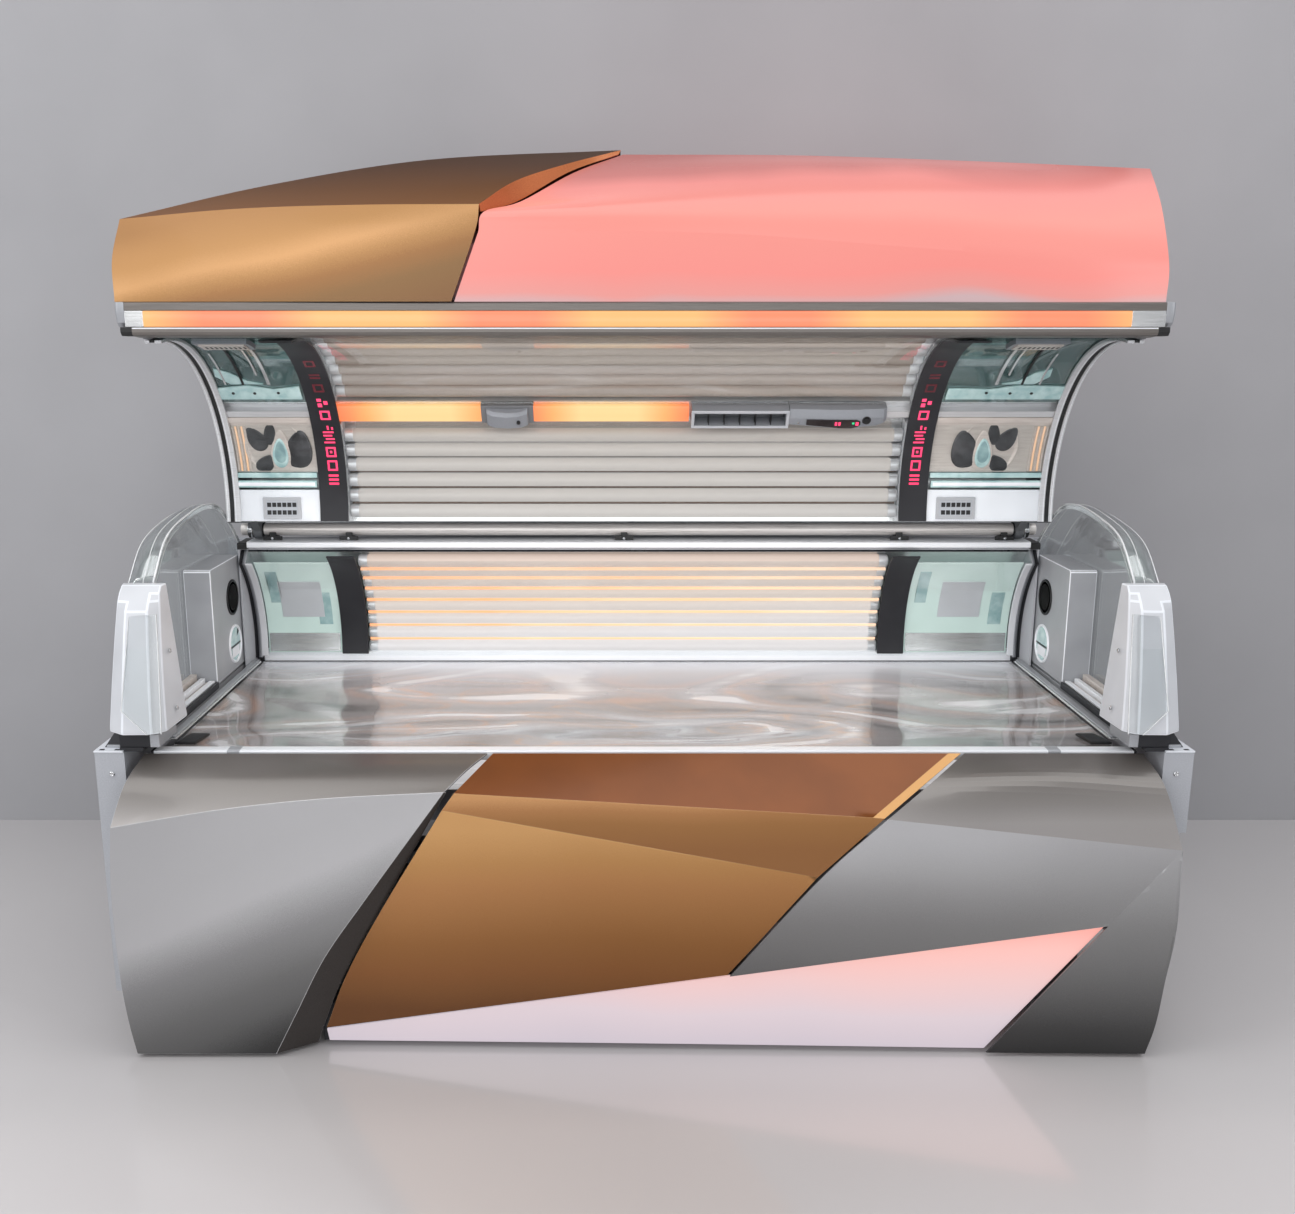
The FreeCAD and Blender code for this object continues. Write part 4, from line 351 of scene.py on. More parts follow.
# Opal light bars over rows of coral and amber light-emitting diodes.
BAR_OPAL = striped_light("opal_light_bar", [(0.1, "FF8E6A"), (0.7, "FFC078")], 590, -297)
STRIP_OPAL = striped_light("opal_inner_strip", [(0.0, "FF7A4C"), (0.35, "FFB068"), (0.8, "FFD896")], 480, -800)
# Low-pressure lamp glass with its phosphor lining: chalky and pale; the darker grey-brown up in the canopy is painted
# shade.
LAMP_GREY = opal(
    "lamp_phosphor_glass", [(0.0, "C8C5C4"), (0.42, "B8B3B0"), (0.56, "745F52"), (1.0, "584436")], "Z", 1100, 1620,
    0.56, 0.12, 300.0, "8A8682", 0.2, (0.18, 1, 1))
# The same glass in the bed and the rear wall, in warmer light: its tones, warmer and darker higher up, are painted
# light and shade.
LAMP_WARM = opal(
    "lamp_phosphor_glass_warm", [(0.0, "DCDADC"), (0.36, "EAEAF0"), (0.58, "DCD0C8"), (1.0, "BFA392")], "Z", 560,
    1080, 0.66, 0.2, 300.0, "8E8680", 0.2, (0.18, 1, 1))
LAMP_OF = {"canopy_lamps": LAMP_GREY, "bench_lamps": LAMP_WARM}
# Folded reflector ridges: umber as painted shade between the lamps, or glowing peach as painted light from behind.
REFLECTOR_PAINTED_SHADE = coated("reflector_ridge_painted_shade", "6E5C50", "7E6C60", 0.4, 0.4, 0.0, 0.1, 6.0)
REFLECTOR_PAINTED_GLOW = opal(
    "reflector_ridge_painted_glow", [(0.0, "FFB888"), (0.5, "FFD0A8"), (1.0, "FFE0C4")], "X", -775, 690, 1.0, 1.2, 160.0,
    "A87850")
# Strips that glow peach: a painted reflection of warm light.
PEACH_PAINTED_REFLECTION = opal(
    "peach_painted_reflection_strip", [(0.0, "E0B890"), (1.0, "F0D0B4")], "Z", 1200, 1400, 0.6, 0.4, 60.0, "B89478")
# Light-emitting bars and dots behind smoked windows.
RED_GLOW = opal("red_light_bars", [(0.0, "FF3468"), (1.0, "FF5480")], "Z", 1100, 1600, 1.35, 0.2, 40.0, "701020")
# Dark red on the signs beside the lit bars: painted spill of their light.
RED_PAINTED_SPILL = coated("red_painted_light_spill", "541420", "6E1C2A", 0.0, 0.4, 0.2, 0.1, 20.0)
GREEN_GLOW = opal("green_light_dot", [(0.0, "38D890"), (1.0, "48E8A0")], "Z", 1300, 1400, 1.0, 0.1, 40.0, "104028")
# Smoked window of the display: near black and glassy.
DISPLAY = coated("smoked_display_window", "120C0E", "1A1214", 0.0, 0.08, 1.0, 0.02, 20.0, 0.02)
# Openings in the end zones, backed with smoked film.
SMOKE = coated("smoked_petal_openings", "3A3B3D", "525457", 0.3, 0.2, 0.6, 0.05, 30.0, 0.1)
# Solid teal acrylic, polished: shelves, bands and the middle petal.
TEAL_SOLID = coated("teal_tinted_acrylic_block", "9CC0C2", "C0DCDC", 0.1, 0.1, 0.8, 0.03, 30.0, 0.1)
# The middle of the same block, where it is thicker and the colour gathers.
TEAL_DEEP = coated("teal_acrylic_block_middle", "7C9CA0", "9CBCBE", 0.1, 0.1, 0.8, 0.03, 30.0, 0.1)
# ABS painted mid grey: the backing frames of the units.
DARK_SILVER = coated("grey_painted_abs", "6E7175", "7E8185", 0.4, 0.4, 0.2, 0.15, 1.2, 0.1)

SLOT_FINISH = {
    "frame_steel": POWDER_GREY, "feet_rubber": RUBBER, "white_panel": POWDER_WHITE, "silver_paint": SILVER_PAINTED_SHADE,
    "gold_paint": GOLD_PAINTED_SHADE, "lit_acrylic": HOOD_OPAL, "charcoal_plastic": CHARCOAL_ABS, "satin_aluminium": ALUMINIUM,
    "clear_acrylic": DOME_ACRYLIC, "lamp_glass": LAMP_GREY, "white_plastic": WHITE_ABS,
    "reflector_sheet": REFLECTOR, "silver_plastic": SILVER_ABS, "black_plastic": BLACK_ABS, "zinc_steel": ZINC,
    "gold_plastic": GOLD_PAINTED_SHADE, "teal_acrylic": TEAL_SOLID, "black_paint": BLACK_PAINT, "bright_steel": CHROME}
NODE_FINISH = {
    "back_cover": POWDER_WHITE, "hood_back": GREY_ABS, "bed_pane": BED_ACRYLIC_PAINTED_REFLECTIONS, "canopy_pane": PANE_ACRYLIC,
    "rear_pane": PANE_ACRYLIC, "light_bars": BAR_OPAL, "front_light_panel": WEDGE_OPAL}
for name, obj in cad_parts.items():
    for used in obj.material_slots:
        used.material = NODE_FINISH.get(name) or SLOT_FINISH[used.material.name.split(".")[0]]


# ---------------------------------------------------------------- stage, light and camera
WALL_Y, FAR = 0.745, 14


def stage_sheet(name, corners, finish):
    mesh = bpy.data.meshes.new(name)
    mesh.from_pydata(corners, [], [(0, 1, 2, 3)])
    mesh.materials.append(finish)
    obj = bpy.data.objects.new(name, mesh)
    scene.collection.objects.link(obj)
    return obj


def make_floor():
    """A pale sealed resin floor, paler towards the front and out to the sides: painted shade darkens it towards the
    bed.
    """
    finish, tree = blank("sealed_resin_floor")
    here = where(tree)
    # Painted shade: darker towards the wall behind the bed and in the middle, lighter out front and to the sides.
    depth = add(tree, "MapRange", {"Value": (here, "Y"), "From Min": 0.75, "From Max": -2.2})
    level = maths(tree, "MULTIPLY_ADD", grain(tree, 900.0, detail=3.0), 0.12, depth)
    level = maths(tree, "MULTIPLY_ADD", maths(tree, "ABSOLUTE", (here, "X")), 0.2, level)
    tone = toned(tree, level, [(0.0, "94939A"), (0.3, "B2B0B1"), (0.75, "C8C5C5"), (1.0, "DCD9D9")])
    ended(
        finish, add(tree, "BsdfPrincipled", {"Base Color": tone, "Roughness": 0.22, "IOR": 1.5, "Coat Weight": 1.0,
        "Coat Roughness": 0.1}))
    stage_sheet("floor", [(-FAR, -FAR, 0), (FAR, -FAR, 0), (FAR, FAR, 0), (-FAR, FAR, 0)], finish)


def make_wall():
    """A painted wall, clear from behind and to the rear lamp, so that the bed shows from there too."""
    finish, tree = blank("painted_wall")
    tone = toned(tree, grain(tree, 700.0, detail=4.0), [(0.3, "A4A4A7"), (0.7, "ACACAF")])
    behind = (add(tree, "NewGeometry"), "Backfacing")
    paint, clear = add(tree, "BsdfDiffuse", {"Color": tone}), add(tree, "BsdfTransparent")
    ended(finish, add(tree, "MixShader", {0: behind, 1: paint, 2: clear}))
    wall = stage_sheet("wall", [(-FAR, WALL_Y, 0), (FAR, WALL_Y, 0), (FAR, WALL_Y, 9), (-FAR, WALL_Y, 9)], finish)
    wall.visible_shadow = False


def lamp(name, place, aim, size, power, colour="FFFFFF"):
    data = bpy.data.lights.new(name, "AREA")
    data.shape, data.size, data.size_y = "RECTANGLE", size[0], size[1]
    data.energy, data.color = power, linear(colour)[:3]
    obj = bpy.data.objects.new(name, data)
    scene.collection.objects.link(obj)
    obj.location = place
    obj.rotation_euler = (Vector(aim) - Vector(place)).to_track_quat("-Z", "Y").to_euler()
    obj.visible_camera = False
    obj.visible_glossy = "glow" not in name


def make_camera():
    """The camera that the bed's level and upright edges were fitted with."""
    data = bpy.data.cameras.new("camera")
    data.sensor_width, data.lens, data.shift_x = 36.0, 34.19, 0.0251
    scene.camera = bpy.data.objects.new("camera", data)
    scene.collection.objects.link(scene.camera)
    scene.camera.location = (-0.065, -3.156, 1.586)
    tilt_down = 12.3
    scene.camera.rotation_euler = (math.radians(90 - tilt_down), 0, 0)


make_floor()
make_wall()
lamp("overhead_softbox", (0, -1.4, 4.4), (0, 0.0, 0.8), (9.0, 2.6), 110)
lamp("front_softbox", (-2.0, -4.8, 3.0), (0, 0, 1.0), (3.2, 2.2), 40)
lamp("low_front_softbox", (0, -5.2, 1.3), (0, 0, 0.9), (5.0, 1.6), 46)
lamp("right_fill", (4.4, -2.6, 2.2), (0.4, 0, 1.0), (2.0, 2.6), 22)
lamp("left_fill", (-4.4, -2.4, 2.4), (-1.2, -0.6, 0), (2.0, 2.6), 44)
lamp("canopy_glow", (-0.04, -0.3, 1.5), (-0.04, 0.16, 0.7), (1.7, 0.3), 5, "FFF6F0")
lamp("rear_softbox", (0.6, 4.2, 3.0), (0, 0.6, 0.9), (4.5, 2.4), 60)
lamp("bed_glow", (0, -0.3, 0.86), (0, 0.2, 1.1), (2.0, 0.3), 3, "FFF8F4")
world = bpy.data.worlds.new("studio")
scene.world = world
world.use_nodes = True
world.node_tree.nodes["Background"].inputs["Color"].default_value = linear("CACACE")
world.node_tree.nodes["Background"].inputs["Strength"].default_value = 0.66
make_camera()
scene.view_settings.view_transform = "Standard"


# ---------------------------------------------------------------- building the pieces
def between(a, b, t):
    return tuple(p + (q - p) * t for p, q in zip(a, b))


def through(points, steps):
    """Points on a smooth curve that passes through the listed ones, with steps to each span."""
    knots = [Vector(p) for p in points]
    knots = [2 * knots[0] - knots[1]] + knots + [2 * knots[-1] - knots[-2]]
    curve = []
    for a, b, c, d in zip(knots, knots[1:], knots[2:], knots[3:]):
        for i in range(steps):
            t = i / steps
            curve.append(
                0.5 * (2 * b + (c - a) * t + (2 * a - 5 * b + 4 * c - d) * t * t
                + (3 * b - a - 3 * c + d) * t ** 3))
    return [tuple(p) for p in curve] + [tuple(knots[-2])]


def arc(y, z, radius, start, stop, steps):
    """Points (y, z) on an arc, angles in degrees above +Y."""
    turns = [math.radians(start + (stop - start) * i / steps) for i in range(steps + 1)]
    return [(y + radius * math.cos(a), z + radius * math.sin(a)) for a in turns]


class Form:
    """Gathers the faces of one piece; each face has its finish's number."""

    def __init__(self):
        self.corners, self.faces, self.finish = [], [], []

    def put(self, corners, faces, finish=0):
        first = len(self.corners)
        self.corners += [tuple(c / 1000 for c in p) for p in corners]
        self.faces += [tuple(first + i for i in f) for f in faces]
        self.finish += [finish] * len(faces)

    def sheet(self, rows, finish=0):
        """A skin over rows of corners, all rows alike in number."""
        n = len(rows[0])
        faces = [
            (r * n + c, r * n + c + 1, (r + 1) * n + c + 1, (r + 1) * n + c) for r in range(len(rows) - 1)
            for c in range(n - 1)]
        self.put([p for row in rows for p in row], faces, finish)

    def patch(self, rows, across, down, finish=0):
        """A skin that passes smoothly through a net of corners."""
        fine = [through(row, across) for row in rows]
        columns = [through(column, down) for column in zip(*fine)]
        self.sheet([list(row) for row in zip(*columns)], finish)

    def loft(self, rings, finish=0, closed=True):
        """A closed skin through rings of corners, with its two ends filled."""
        n = len(rings[0])
        faces = [
            (r * n + c, r * n + (c + 1) % n, (r + 1) * n + (c + 1) % n, (r + 1) * n + c)
            for r in range(len(rings) - 1) for c in range(n)]
        if closed:
            faces += [tuple(range(n))[::-1], tuple((len(rings) - 1) * n + c for c in range(n))]
        self.put([p for ring in rings for p in ring], faces, finish)

    def prism(self, outline, x0, x1, finish=0):
        """An outline of (y, z) drawn out along X."""
        self.loft([[(x, y, z) for y, z in outline] for x in (x0, x1)], finish)

    def block(self, x0, x1, y0, y1, z0, z1, finish=0):
        self.prism([(y0, z0), (y1, z0), (y1, z1), (y0, z1)], x0, x1, finish)

    def aside(self, sign, x0, x1, *rest):
        """A block on the left (-1) or the right (1), from its distances to the middle."""
        self.block(*sorted((sign * x0, sign * x1)), *rest)

    def bent(self, x0, x1, y, z, inner, outer, start, stop, steps, finish=0):
        """A sheet bent about a line along X."""
        self.prism(arc(y, z, inner, start, stop, steps) + arc(y, z, outer, stop, start, steps), x0, x1, finish)

    def turned(self, profile, centre, axis, sides=24, finish=0, closed=True):
        """A profile of (along, radius) turned about an axis through a centre."""
        axis = Vector(axis).normalized()
        side = axis.orthogonal().normalized()
        up = axis.cross(side)
        turns = [2 * math.pi * i / sides for i in range(sides)]
        rings = [
            [tuple(Vector(centre) + axis * along + (side * math.cos(a) + up * math.sin(a)) * radius)
            for a in turns] for along, radius in profile]
        self.loft(rings, finish, closed)

    def made(
            self, name, body, finishes, replaced=(), bevel=0.0, limit=30, segments=2, wall=0.0, facing=None,
            smooth=True, crease=-1):
        """Makes the piece: welded, turned outward, walled, and rounded at its edges.

        The rounding, in millimetres, takes the edges sharper than limit degrees, and may have a finish of its own,
        crease, which on the skins and pillars is a paler painted highlight. facing says which way an open skin looks.
        """
        mesh = bpy.data.meshes.new(name)
        mesh.from_pydata(self.corners, [], self.faces)
        mesh.polygons.foreach_set("material_index", self.finish)
        shape = bmesh.new()
        shape.from_mesh(mesh)
        bmesh.ops.remove_doubles(shape, verts=shape.verts, dist=0.00005)
        bmesh.ops.dissolve_degenerate(shape, edges=shape.edges, dist=0.00001)
        bmesh.ops.recalc_face_normals(shape, faces=shape.faces)
        if facing is not None and sum(
                (f.normal * f.calc_area() for f in shape.faces), Vector()).dot(Vector(facing)) < 0:
            bmesh.ops.reverse_faces(shape, faces=shape.faces)
        shape.to_mesh(mesh)
        shape.free()
        obj = bpy.data.objects.new(name, mesh)
        scene.collection.objects.link(obj)
        for finish in finishes:
            mesh.materials.append(finish)
        if wall:
            skin = obj.modifiers.new("wall", "SOLIDIFY")
            skin.thickness, skin.offset = wall / 1000, -1
        if bevel:
            edge = obj.modifiers.new("edge", "BEVEL")
            edge.width, edge.segments, edge.limit_method = bevel / 1000, segments, "ANGLE"
            edge.angle_limit, edge.harden_normals = math.radians(limit), False
            edge.use_clamp_overlap, edge.material = True, crease
        if smooth:
            mesh.polygons.foreach_set("use_smooth", [True] * len(mesh.polygons))
            shade = obj.modifiers.new("shade", "WEIGHTED_NORMAL")
            shade.weight, shade.keep_sharp = 60, False
        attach(obj, body)
        if replaced:
            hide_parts(*replaced)
        return obj


# ---------------------------------------------------------------- the bench's front skin
TOP_Y, TOP_Z = -526.3, 676


def make_front_left():
    outer = [(-1157, -660, 553), (-1163, -672, 400), (-1160, -672, 209), (-1152, -668, 95), (-1142, -660, 10)]
    inner = [(-436, -641, 627), (-608, -658, 391), (-706, -665, 251), (-775, -665, 117), (-829, -660, 10)]
    recess = [(-431, -637, 625), (-590, -626, 341), (-676, -622, 183), (-727, -617, 60), (-744, -612, 10)]
    ridge = [outer[0], (-915, -660, 595), (-691, -652, 617), inner[0]]
    rows = [ridge] + [[a, between(a, b, 0.34), between(a, b, 0.67), b] for a, b in zip(outer[1:], inner[1:])]
    form = Form()
    form.patch(rows, 8, 8)
    form.patch([[a, b] for a, b in zip(inner, recess)], 3, 8, 3)
    top = [(-1122, TOP_Y, TOP_Z), (-915, TOP_Y, TOP_Z), (-691, TOP_Y, TOP_Z), (-352, TOP_Y, TOP_Z)]
    roll = [(-1140, -606, 632), (-915, -602, 645), (-691, -596, 654), (-392, -586, 658)]
    form.patch([top, roll, ridge], 8, 8, 1)
    back = [(-1148, -563, p[2]) for p in outer]
    form.patch([outer, back], 8, 3)
    form.made(
        "front_skin_left", "bench", [SILVER_BELLY_PAINTED_SHADE, SILVER_BAND_PAINTED_SHADE, SILVER_CREASE_PAINTED_HIGHLIGHT, RETURN_PAINTED_SHADE],
        ["front_panel_left"], 2.6, 7, 2, 4, (0, -1, 0.2), True, 2)


# The seam between the gold and the right-hand silver, from the top down.
SEAM = [(712, TOP_Y, TOP_Z), (519, -652, 571), (377, -661, 438), (186, -643, 195)]


def make_front_centre():
    top_left, crease_left = (-339, TOP_Y, TOP_Z), (-415, -634, 622)
    corner_left, toe = (-441, -643, 586), (-722, -620, 52)
    rim, rim_top = (494, -651, 573), (684, TOP_Y, TOP_Z)
    form = Form()
    form.patch([[top_left, rim_top], [crease_left, rim]], 12, 8, 1)
    form.sheet([[rim_top, SEAM[0]], [rim, SEAM[1]]])
    form.put([crease_left, rim, SEAM[1], SEAM[2], corner_left], [(0, 1, 3, 4), (1, 2, 3)], 3)
    left = [corner_left, (-587, -632, 341), (-671, -625, 183), toe]
    right = [SEAM[2], (316, -655, 360), (250, -649, 275), SEAM[3]]
    form.patch([[a, between(a, b, 0.5), b] for a, b in zip(left, right)], 14, 8)
    form.made(
        "front_skin_centre", "bench", [GOLD_PAINTED_SHADE, GOLD_BAND_PAINTED_SHADE, GOLD_CREASE_PAINTED_HIGHLIGHT, GOLD_FACET_PAINTED_SHADE], ["front_panel_centre"],
        2.6, 4, 2, 4, (0, -1, 0.2), True, 2)


def make_front_right():
    outer = [(1164, -668, 504), (1165, -675, 323), (1153, -673, 199), (1144, -668, 88), (1130, -660, 10)]
    ridge_left, tip, base = (526, -655, 570), (1018, -668, 326), (774, -655, 10)
    seam = [ridge_left, (384, -664, 436), (192, -646, 193)]
    form = Form()
    shoulder = (1091, -668, 415)
    rows = [[a, between(a, b, 0.5), b] for a, b in zip(seam, (outer[0], shoulder, tip))]
    form.patch(rows, 10, 10)
    inner = [shoulder, tip, between(tip, base, 0.36), between(tip, base, 0.7), base]
    corner = [outer[0], outer[0]]
    form.patch([corner] + [[a, b] for a, b in zip(inner, [(1165, -672, 415)] + outer[1:])], 6, 8)
    top = [(720, TOP_Y, TOP_Z), (921, TOP_Y, TOP_Z), (1122, TOP_Y, TOP_Z)]
    roll = [(632, -596, 633), (890, -606, 640), (1144, -604, 622)]
    form.patch([top, roll, rows[0]], 10, 8, 1)
    back = [(1148, -563, p[2]) for p in outer]
    form.patch([outer, back], 8, 3)
    form.made(
        "front_skin_right", "bench", [SILVER_PAINTED_SHADE, SILVER_BAND_PAINTED_SHADE, SILVER_CREASE_PAINTED_HIGHLIGHT], ["front_panel_right"], 2.6,
        4, 2, 4, (0, -1, 0.2), True, 2)


def make_front_wedge():
    """The opal wedge."""
    form = Form()
    rows = [
        [(-724, -613, 44), (140, -635, 181), (1014, -657.5, 321)],
        [(-719, -613, 15), (21, -627, 15), (772, -642, 13)]]
    form.patch(rows, 16, 8)
    form.made("front_wedge", "bench", [WEDGE_OPAL], ["front_light_panel"], 1.2, 30, 2, 6, (0, -1, 0))


# ---------------------------------------------------------------- hood
def make_hood_gold():
    low = [(-1142, -430, 1664), (-900, -440, 1664), (-658, -446, 1664), (-415, -450, 1664)]
    belly = [(-1154, -395, 1753), (-893, -424, 1772), (-630, -438, 1790), (-362, -440, 1809)]
    crease = [(-1132, -390, 1838), (-872, -412, 1857), (-612, -424, 1864), (-353, -430, 1865)]
    ridge = [(-1132, -390, 1838), (-860, -196, 1930), (-500, -132, 1994), (-52, -140, 2014)]
    lip = [(-283, -340, 1922), (-178, -250, 1968)]
    form = Form()
    form.patch([low, belly, crease], 10, 8)
    rows = [crease]
    for t, edge in ((0.33, lip[0]), (0.68, lip[1])):
        rows.append([crease[0]] + [between(crease[i], ridge[i], t) for i in (1, 2)] + [edge])
    form.patch(rows + [ridge], 10, 6, 2)
    shoulder = [(-1127, -150, 1855), (-840, -20, 1912), (-480, 10, 1962), (-52, 0, 1976)]
    middle = [(-1117, 130, 1790), (-835, 130, 1843), (-475, 130, 1884), (-52, 130, 1902)]
    rear = [(-1106, 296, 1696.6), (-835, 296, 1696.6), (-475, 296, 1696.6), (-52, 296, 1696.6)]
    form.patch([ridge, shoulder, middle, rear], 10, 6, 2)
    hem = [(-1142, -430, 1664), (-1137, -150, 1688), (-1121, 130, 1691), (-1106, 296, 1696)]
    side = [(-1154, -395, 1753), (-1140, -150, 1770), (-1124, 130, 1740), (-1106, 296, 1696.2)]
    brow = [(-1132, -390, 1838), (-1127, -150, 1855), (-1117, 130, 1790), (-1106, 296, 1696.6)]
    form.patch([hem, side, brow], 8, 8)
    step = [(-350, -424, 1850), (-279, -336, 1880), (-170, -244, 1952), (-56, -150, 2004)]
    form.patch([[crease[3], lip[0], lip[1], ridge[3]], step], 6, 3, 1)
    form.made(
        "hood_skin_gold", "canopy", [HOOD_GOLD_PAINTED_HIGHLIGHT, GOLD_STEP_PAINTED_LIGHT, HOOD_TOP_GOLD_PAINTED_SHADE, GOLD_CREASE_PAINTED_HIGHLIGHT],
        ["hood_gold"], 2.6, 8, 2, 4, (0, -1, 1), True, 3)


def make_hood_light():
    left = [
        (-409, -446, 1664), (-355, -436, 1809), (-344, -424, 1850), (-271, -350, 1878), (-157, -240, 1952),
        (-46, -150, 2003)]
    inner = [
        (100, -441, 1664), (140, -434, 1806), (130, -410, 1868), (170, -352, 1916), (250, -260, 1968),
        (363, -150, 2001)]
    outer = [
        (610, -436, 1664), (640, -424, 1772), (650, -392, 1862), (680, -345, 1916), (720, -270, 1958),
        (770, -180, 1984)]
    right = [
        (1121, -430, 1664), (1139, -387, 1745), (1134, -366, 1811), (1130, -343, 1868), (1124, -318, 1914),
        (1119, -290, 1954)]
    net = [list(row) for row in zip(left, inner, outer, right)]
    form = Form()
    form.patch(net[:2], 12, 10)
    form.patch(net[1:], 12, 6)
    shoulder = [(-46, 0, 1968), (363, 0, 1966), (770, -20, 1948), (1119, -80, 1906)]
    middle = [(-46, 130, 1900), (363, 130, 1895), (770, 130, 1878), (1114, 130, 1838)]
    rear = [(-46, 296, 1696.6), (363, 296, 1696.6), (770, 296, 1696.6), (1106, 296, 1696.6)]
    form.patch([net[5], shoulder, middle, rear], 12, 6)
    hem = [right[0], (1128, -150, 1688), (1116, 130, 1691), (1106, 296, 1696)]
    side = [right[1], (1136, -150, 1770), (1122, 130, 1745), (1106, 296, 1696.2)]
    brow = [right[3], (1132, -150, 1856), (1120, 130, 1796), (1106, 296, 1696.4)]
    top = [right[5], shoulder[3], middle[3], rear[3]]
    form.patch([hem, side, brow, top], 8, 6)
    form.made("hood_skin_light", "canopy", [HOOD_OPAL], ["hood_light"], 3.0, 12, 3, 4, (0, -1, 1))


make_front_left()
make_front_centre()
make_front_right()
make_front_wedge()
make_hood_gold()
make_hood_light()


# ---------------------------------------------------------------- lamps and what is behind them
# Middles (y, z) of the canopy's and the rear wall's curve, the units' band in degrees, and the lamp fields.
ARC, WALL = (-320, 1165), (-45, 740)
BAND = 33
OUT_OF_BAND = (0, -0.8387, -0.5446)
MM_PER_DEGREE = 7.33
DISH_ANGLE = 19.5
FIELD = (-775, 690)
LAMPS_AT, WALL_LAMPS_AT = 448, 349
LOW_START, HIGH_START, PITCH = -3.8, 41.2, 5.37
WALL_START, WALL_PITCH = -3.5, 6.9


def on(centre, radius, angle):
    a = math.radians(angle)
    return centre[0] + radius * math.cos(a), centre[1] + radius * math.sin(a)


def band(radial, up):
    """A point (y, z) on the band of units, from its distance out and its height across."""
    a = math.radians(BAND)
    return ARC[0] + radial * math.cos(a) - up * math.sin(a), ARC[1] + radial * math.sin(a) + up * math.cos(a)


def make_lamps(name, body, node, places, x0, x1):
    """Tubes with drawn aluminium end caps."""
    form = Form()
    for y, z in places:
        form.turned([(x0 + 26, 17.2), (x0 + 26.5, 18), (x1 - 26.5, 18), (x1 - 26, 17.2)], (0, y, z), (1, 0, 0), 20)
        for x, out in ((x0, 1), (x1, -1)):
            form.turned(
                [(x, 13), (x + 2 * out, 16), (x + 6 * out, 17.7), (x + 25.8 * out, 17.9), (x + 25.9 * out, 17)],
                (0, y, z), (1, 0, 0), 20, 1)
    form.made(name, body, [LAMP_OF[node], ALUMINIUM], [node])


def make_all_lamps():
    upper = [on(ARC, LAMPS_AT, HIGH_START + PITCH * i) for i in range(11)]
    lower = [on(ARC, LAMPS_AT, LOW_START + PITCH * i) for i in range(6)]
    make_lamps("canopy_lamp_tubes", "canopy", "canopy_lamps", lower + upper, *FIELD)
    flat = [(-440 + 680 * i / 12, 591) for i in range(13)]
    make_lamps("bed_lamp_tubes", "bench", "bench_lamps", flat, -1000, 1000)
    wall = [on(WALL, WALL_LAMPS_AT, WALL_START + WALL_PITCH * i) for i in range(8)]
    make_lamps("wall_lamp_tubes", "bench", "bench_lamps", wall, *FIELD)


def make_lamp_gaps():
    """Folded reflector ridges between the lamps: painted shade on those of the canopy, and a painted warm glow on
    those of the wall.
    """
    form = Form()
    for start, gaps in ((LOW_START, 5), (HIGH_START, 10)):
        for i in range(gaps):
            middle = start + PITCH * (i + 0.5)
            form.bent(-772, 687, *ARC, 461, 466, middle - 0.5, middle + 0.5, 2)
    form.made("canopy_lamp_ridges", "canopy", [REFLECTOR_PAINTED_SHADE], smooth=False)
    form = Form()
    for i in range(7):
        middle, front = WALL_START + WALL_PITCH * (i + 0.5), 345 - 2.2 * i
        form.bent(-772, 687, *WALL, front, front + 7, middle - 0.42, middle + 0.42, 1)
    form.made("wall_lamp_ridges", "bench", [REFLECTOR_PAINTED_GLOW], smooth=False)


def make_dark_covers():
    """Formed covers over the lamp ends, with a column of lit bars let into each of the canopy's."""
    for side, x0, x1, middle in (("left", -849, -775, -808), ("right", 690, 764, 726)):
        form = Form()
        outline = arc(*ARC, 417.5, -7.4, 99.6, 60) + arc(*ARC, 422.7, 99.6, -7.4, 60)
        form.prism(outline, x0, x1)
        # Each sign is bars: (across from, across to, up from, up to) in millimetres from its lower middle.
        ring = [(-13, 13, 0, 5), (-13, 13, 24, 29), (-13, -8, 5, 24), (8, 13, 5, 24)]
        tower = [
            (-14, 14, 0, 5), (-9, 14, 10, 15), (-14, 9, 20, 25), (-14, 14, 30, 35), (-2, 3, 40, 52), (9, 14, 40, 48)]
        signs = [
            (6.0, [(-13, 13, 0, 6), (-13, 13, 11, 17), (-13, 13, 22, 28)], 1), (11.2, ring, 1),
            (16.4, ring + [(-3, 3, 11, 18)], 1), (21.8, tower, 1), (31.4, ring, 1),
            (37.0, [(-13, -2, 0, 12), (3, 13, 8, 20), (-13, -2, 18, 28)], 1), (44.0, ring, 2),
            (51.0, [(-13, 13, 0, 6), (-13, 13, 12, 18)], 2), (58.0, ring, 2)]
        for start, bars, finish in signs:
            for across0, across1, up0, up1 in bars:
                form.bent(
                    middle + across0, middle + across1, *ARC, 416.6, 417.6, start + up0 / MM_PER_DEGREE,
                    start + up1 / MM_PER_DEGREE, 2, finish)
        form.made(
            "symbol_strip_" + side, "canopy", [CHARCOAL_ABS, RED_GLOW, RED_PAINTED_SPILL],
            side == "left" and ["canopy_dark_covers"], 1.2, 40)
    form = Form()
    for x0, x1 in ((-849, -773), (688, 764)):
        form.prism(arc(*WALL, 318, -7, 57, 28) + arc(*WALL, 323.6, 57, -7, 28), x0, x1)
    form.made("wall_end_covers", "bench", [CHARCOAL_ABS], ["rear_dark_covers"], 2.5, 40)


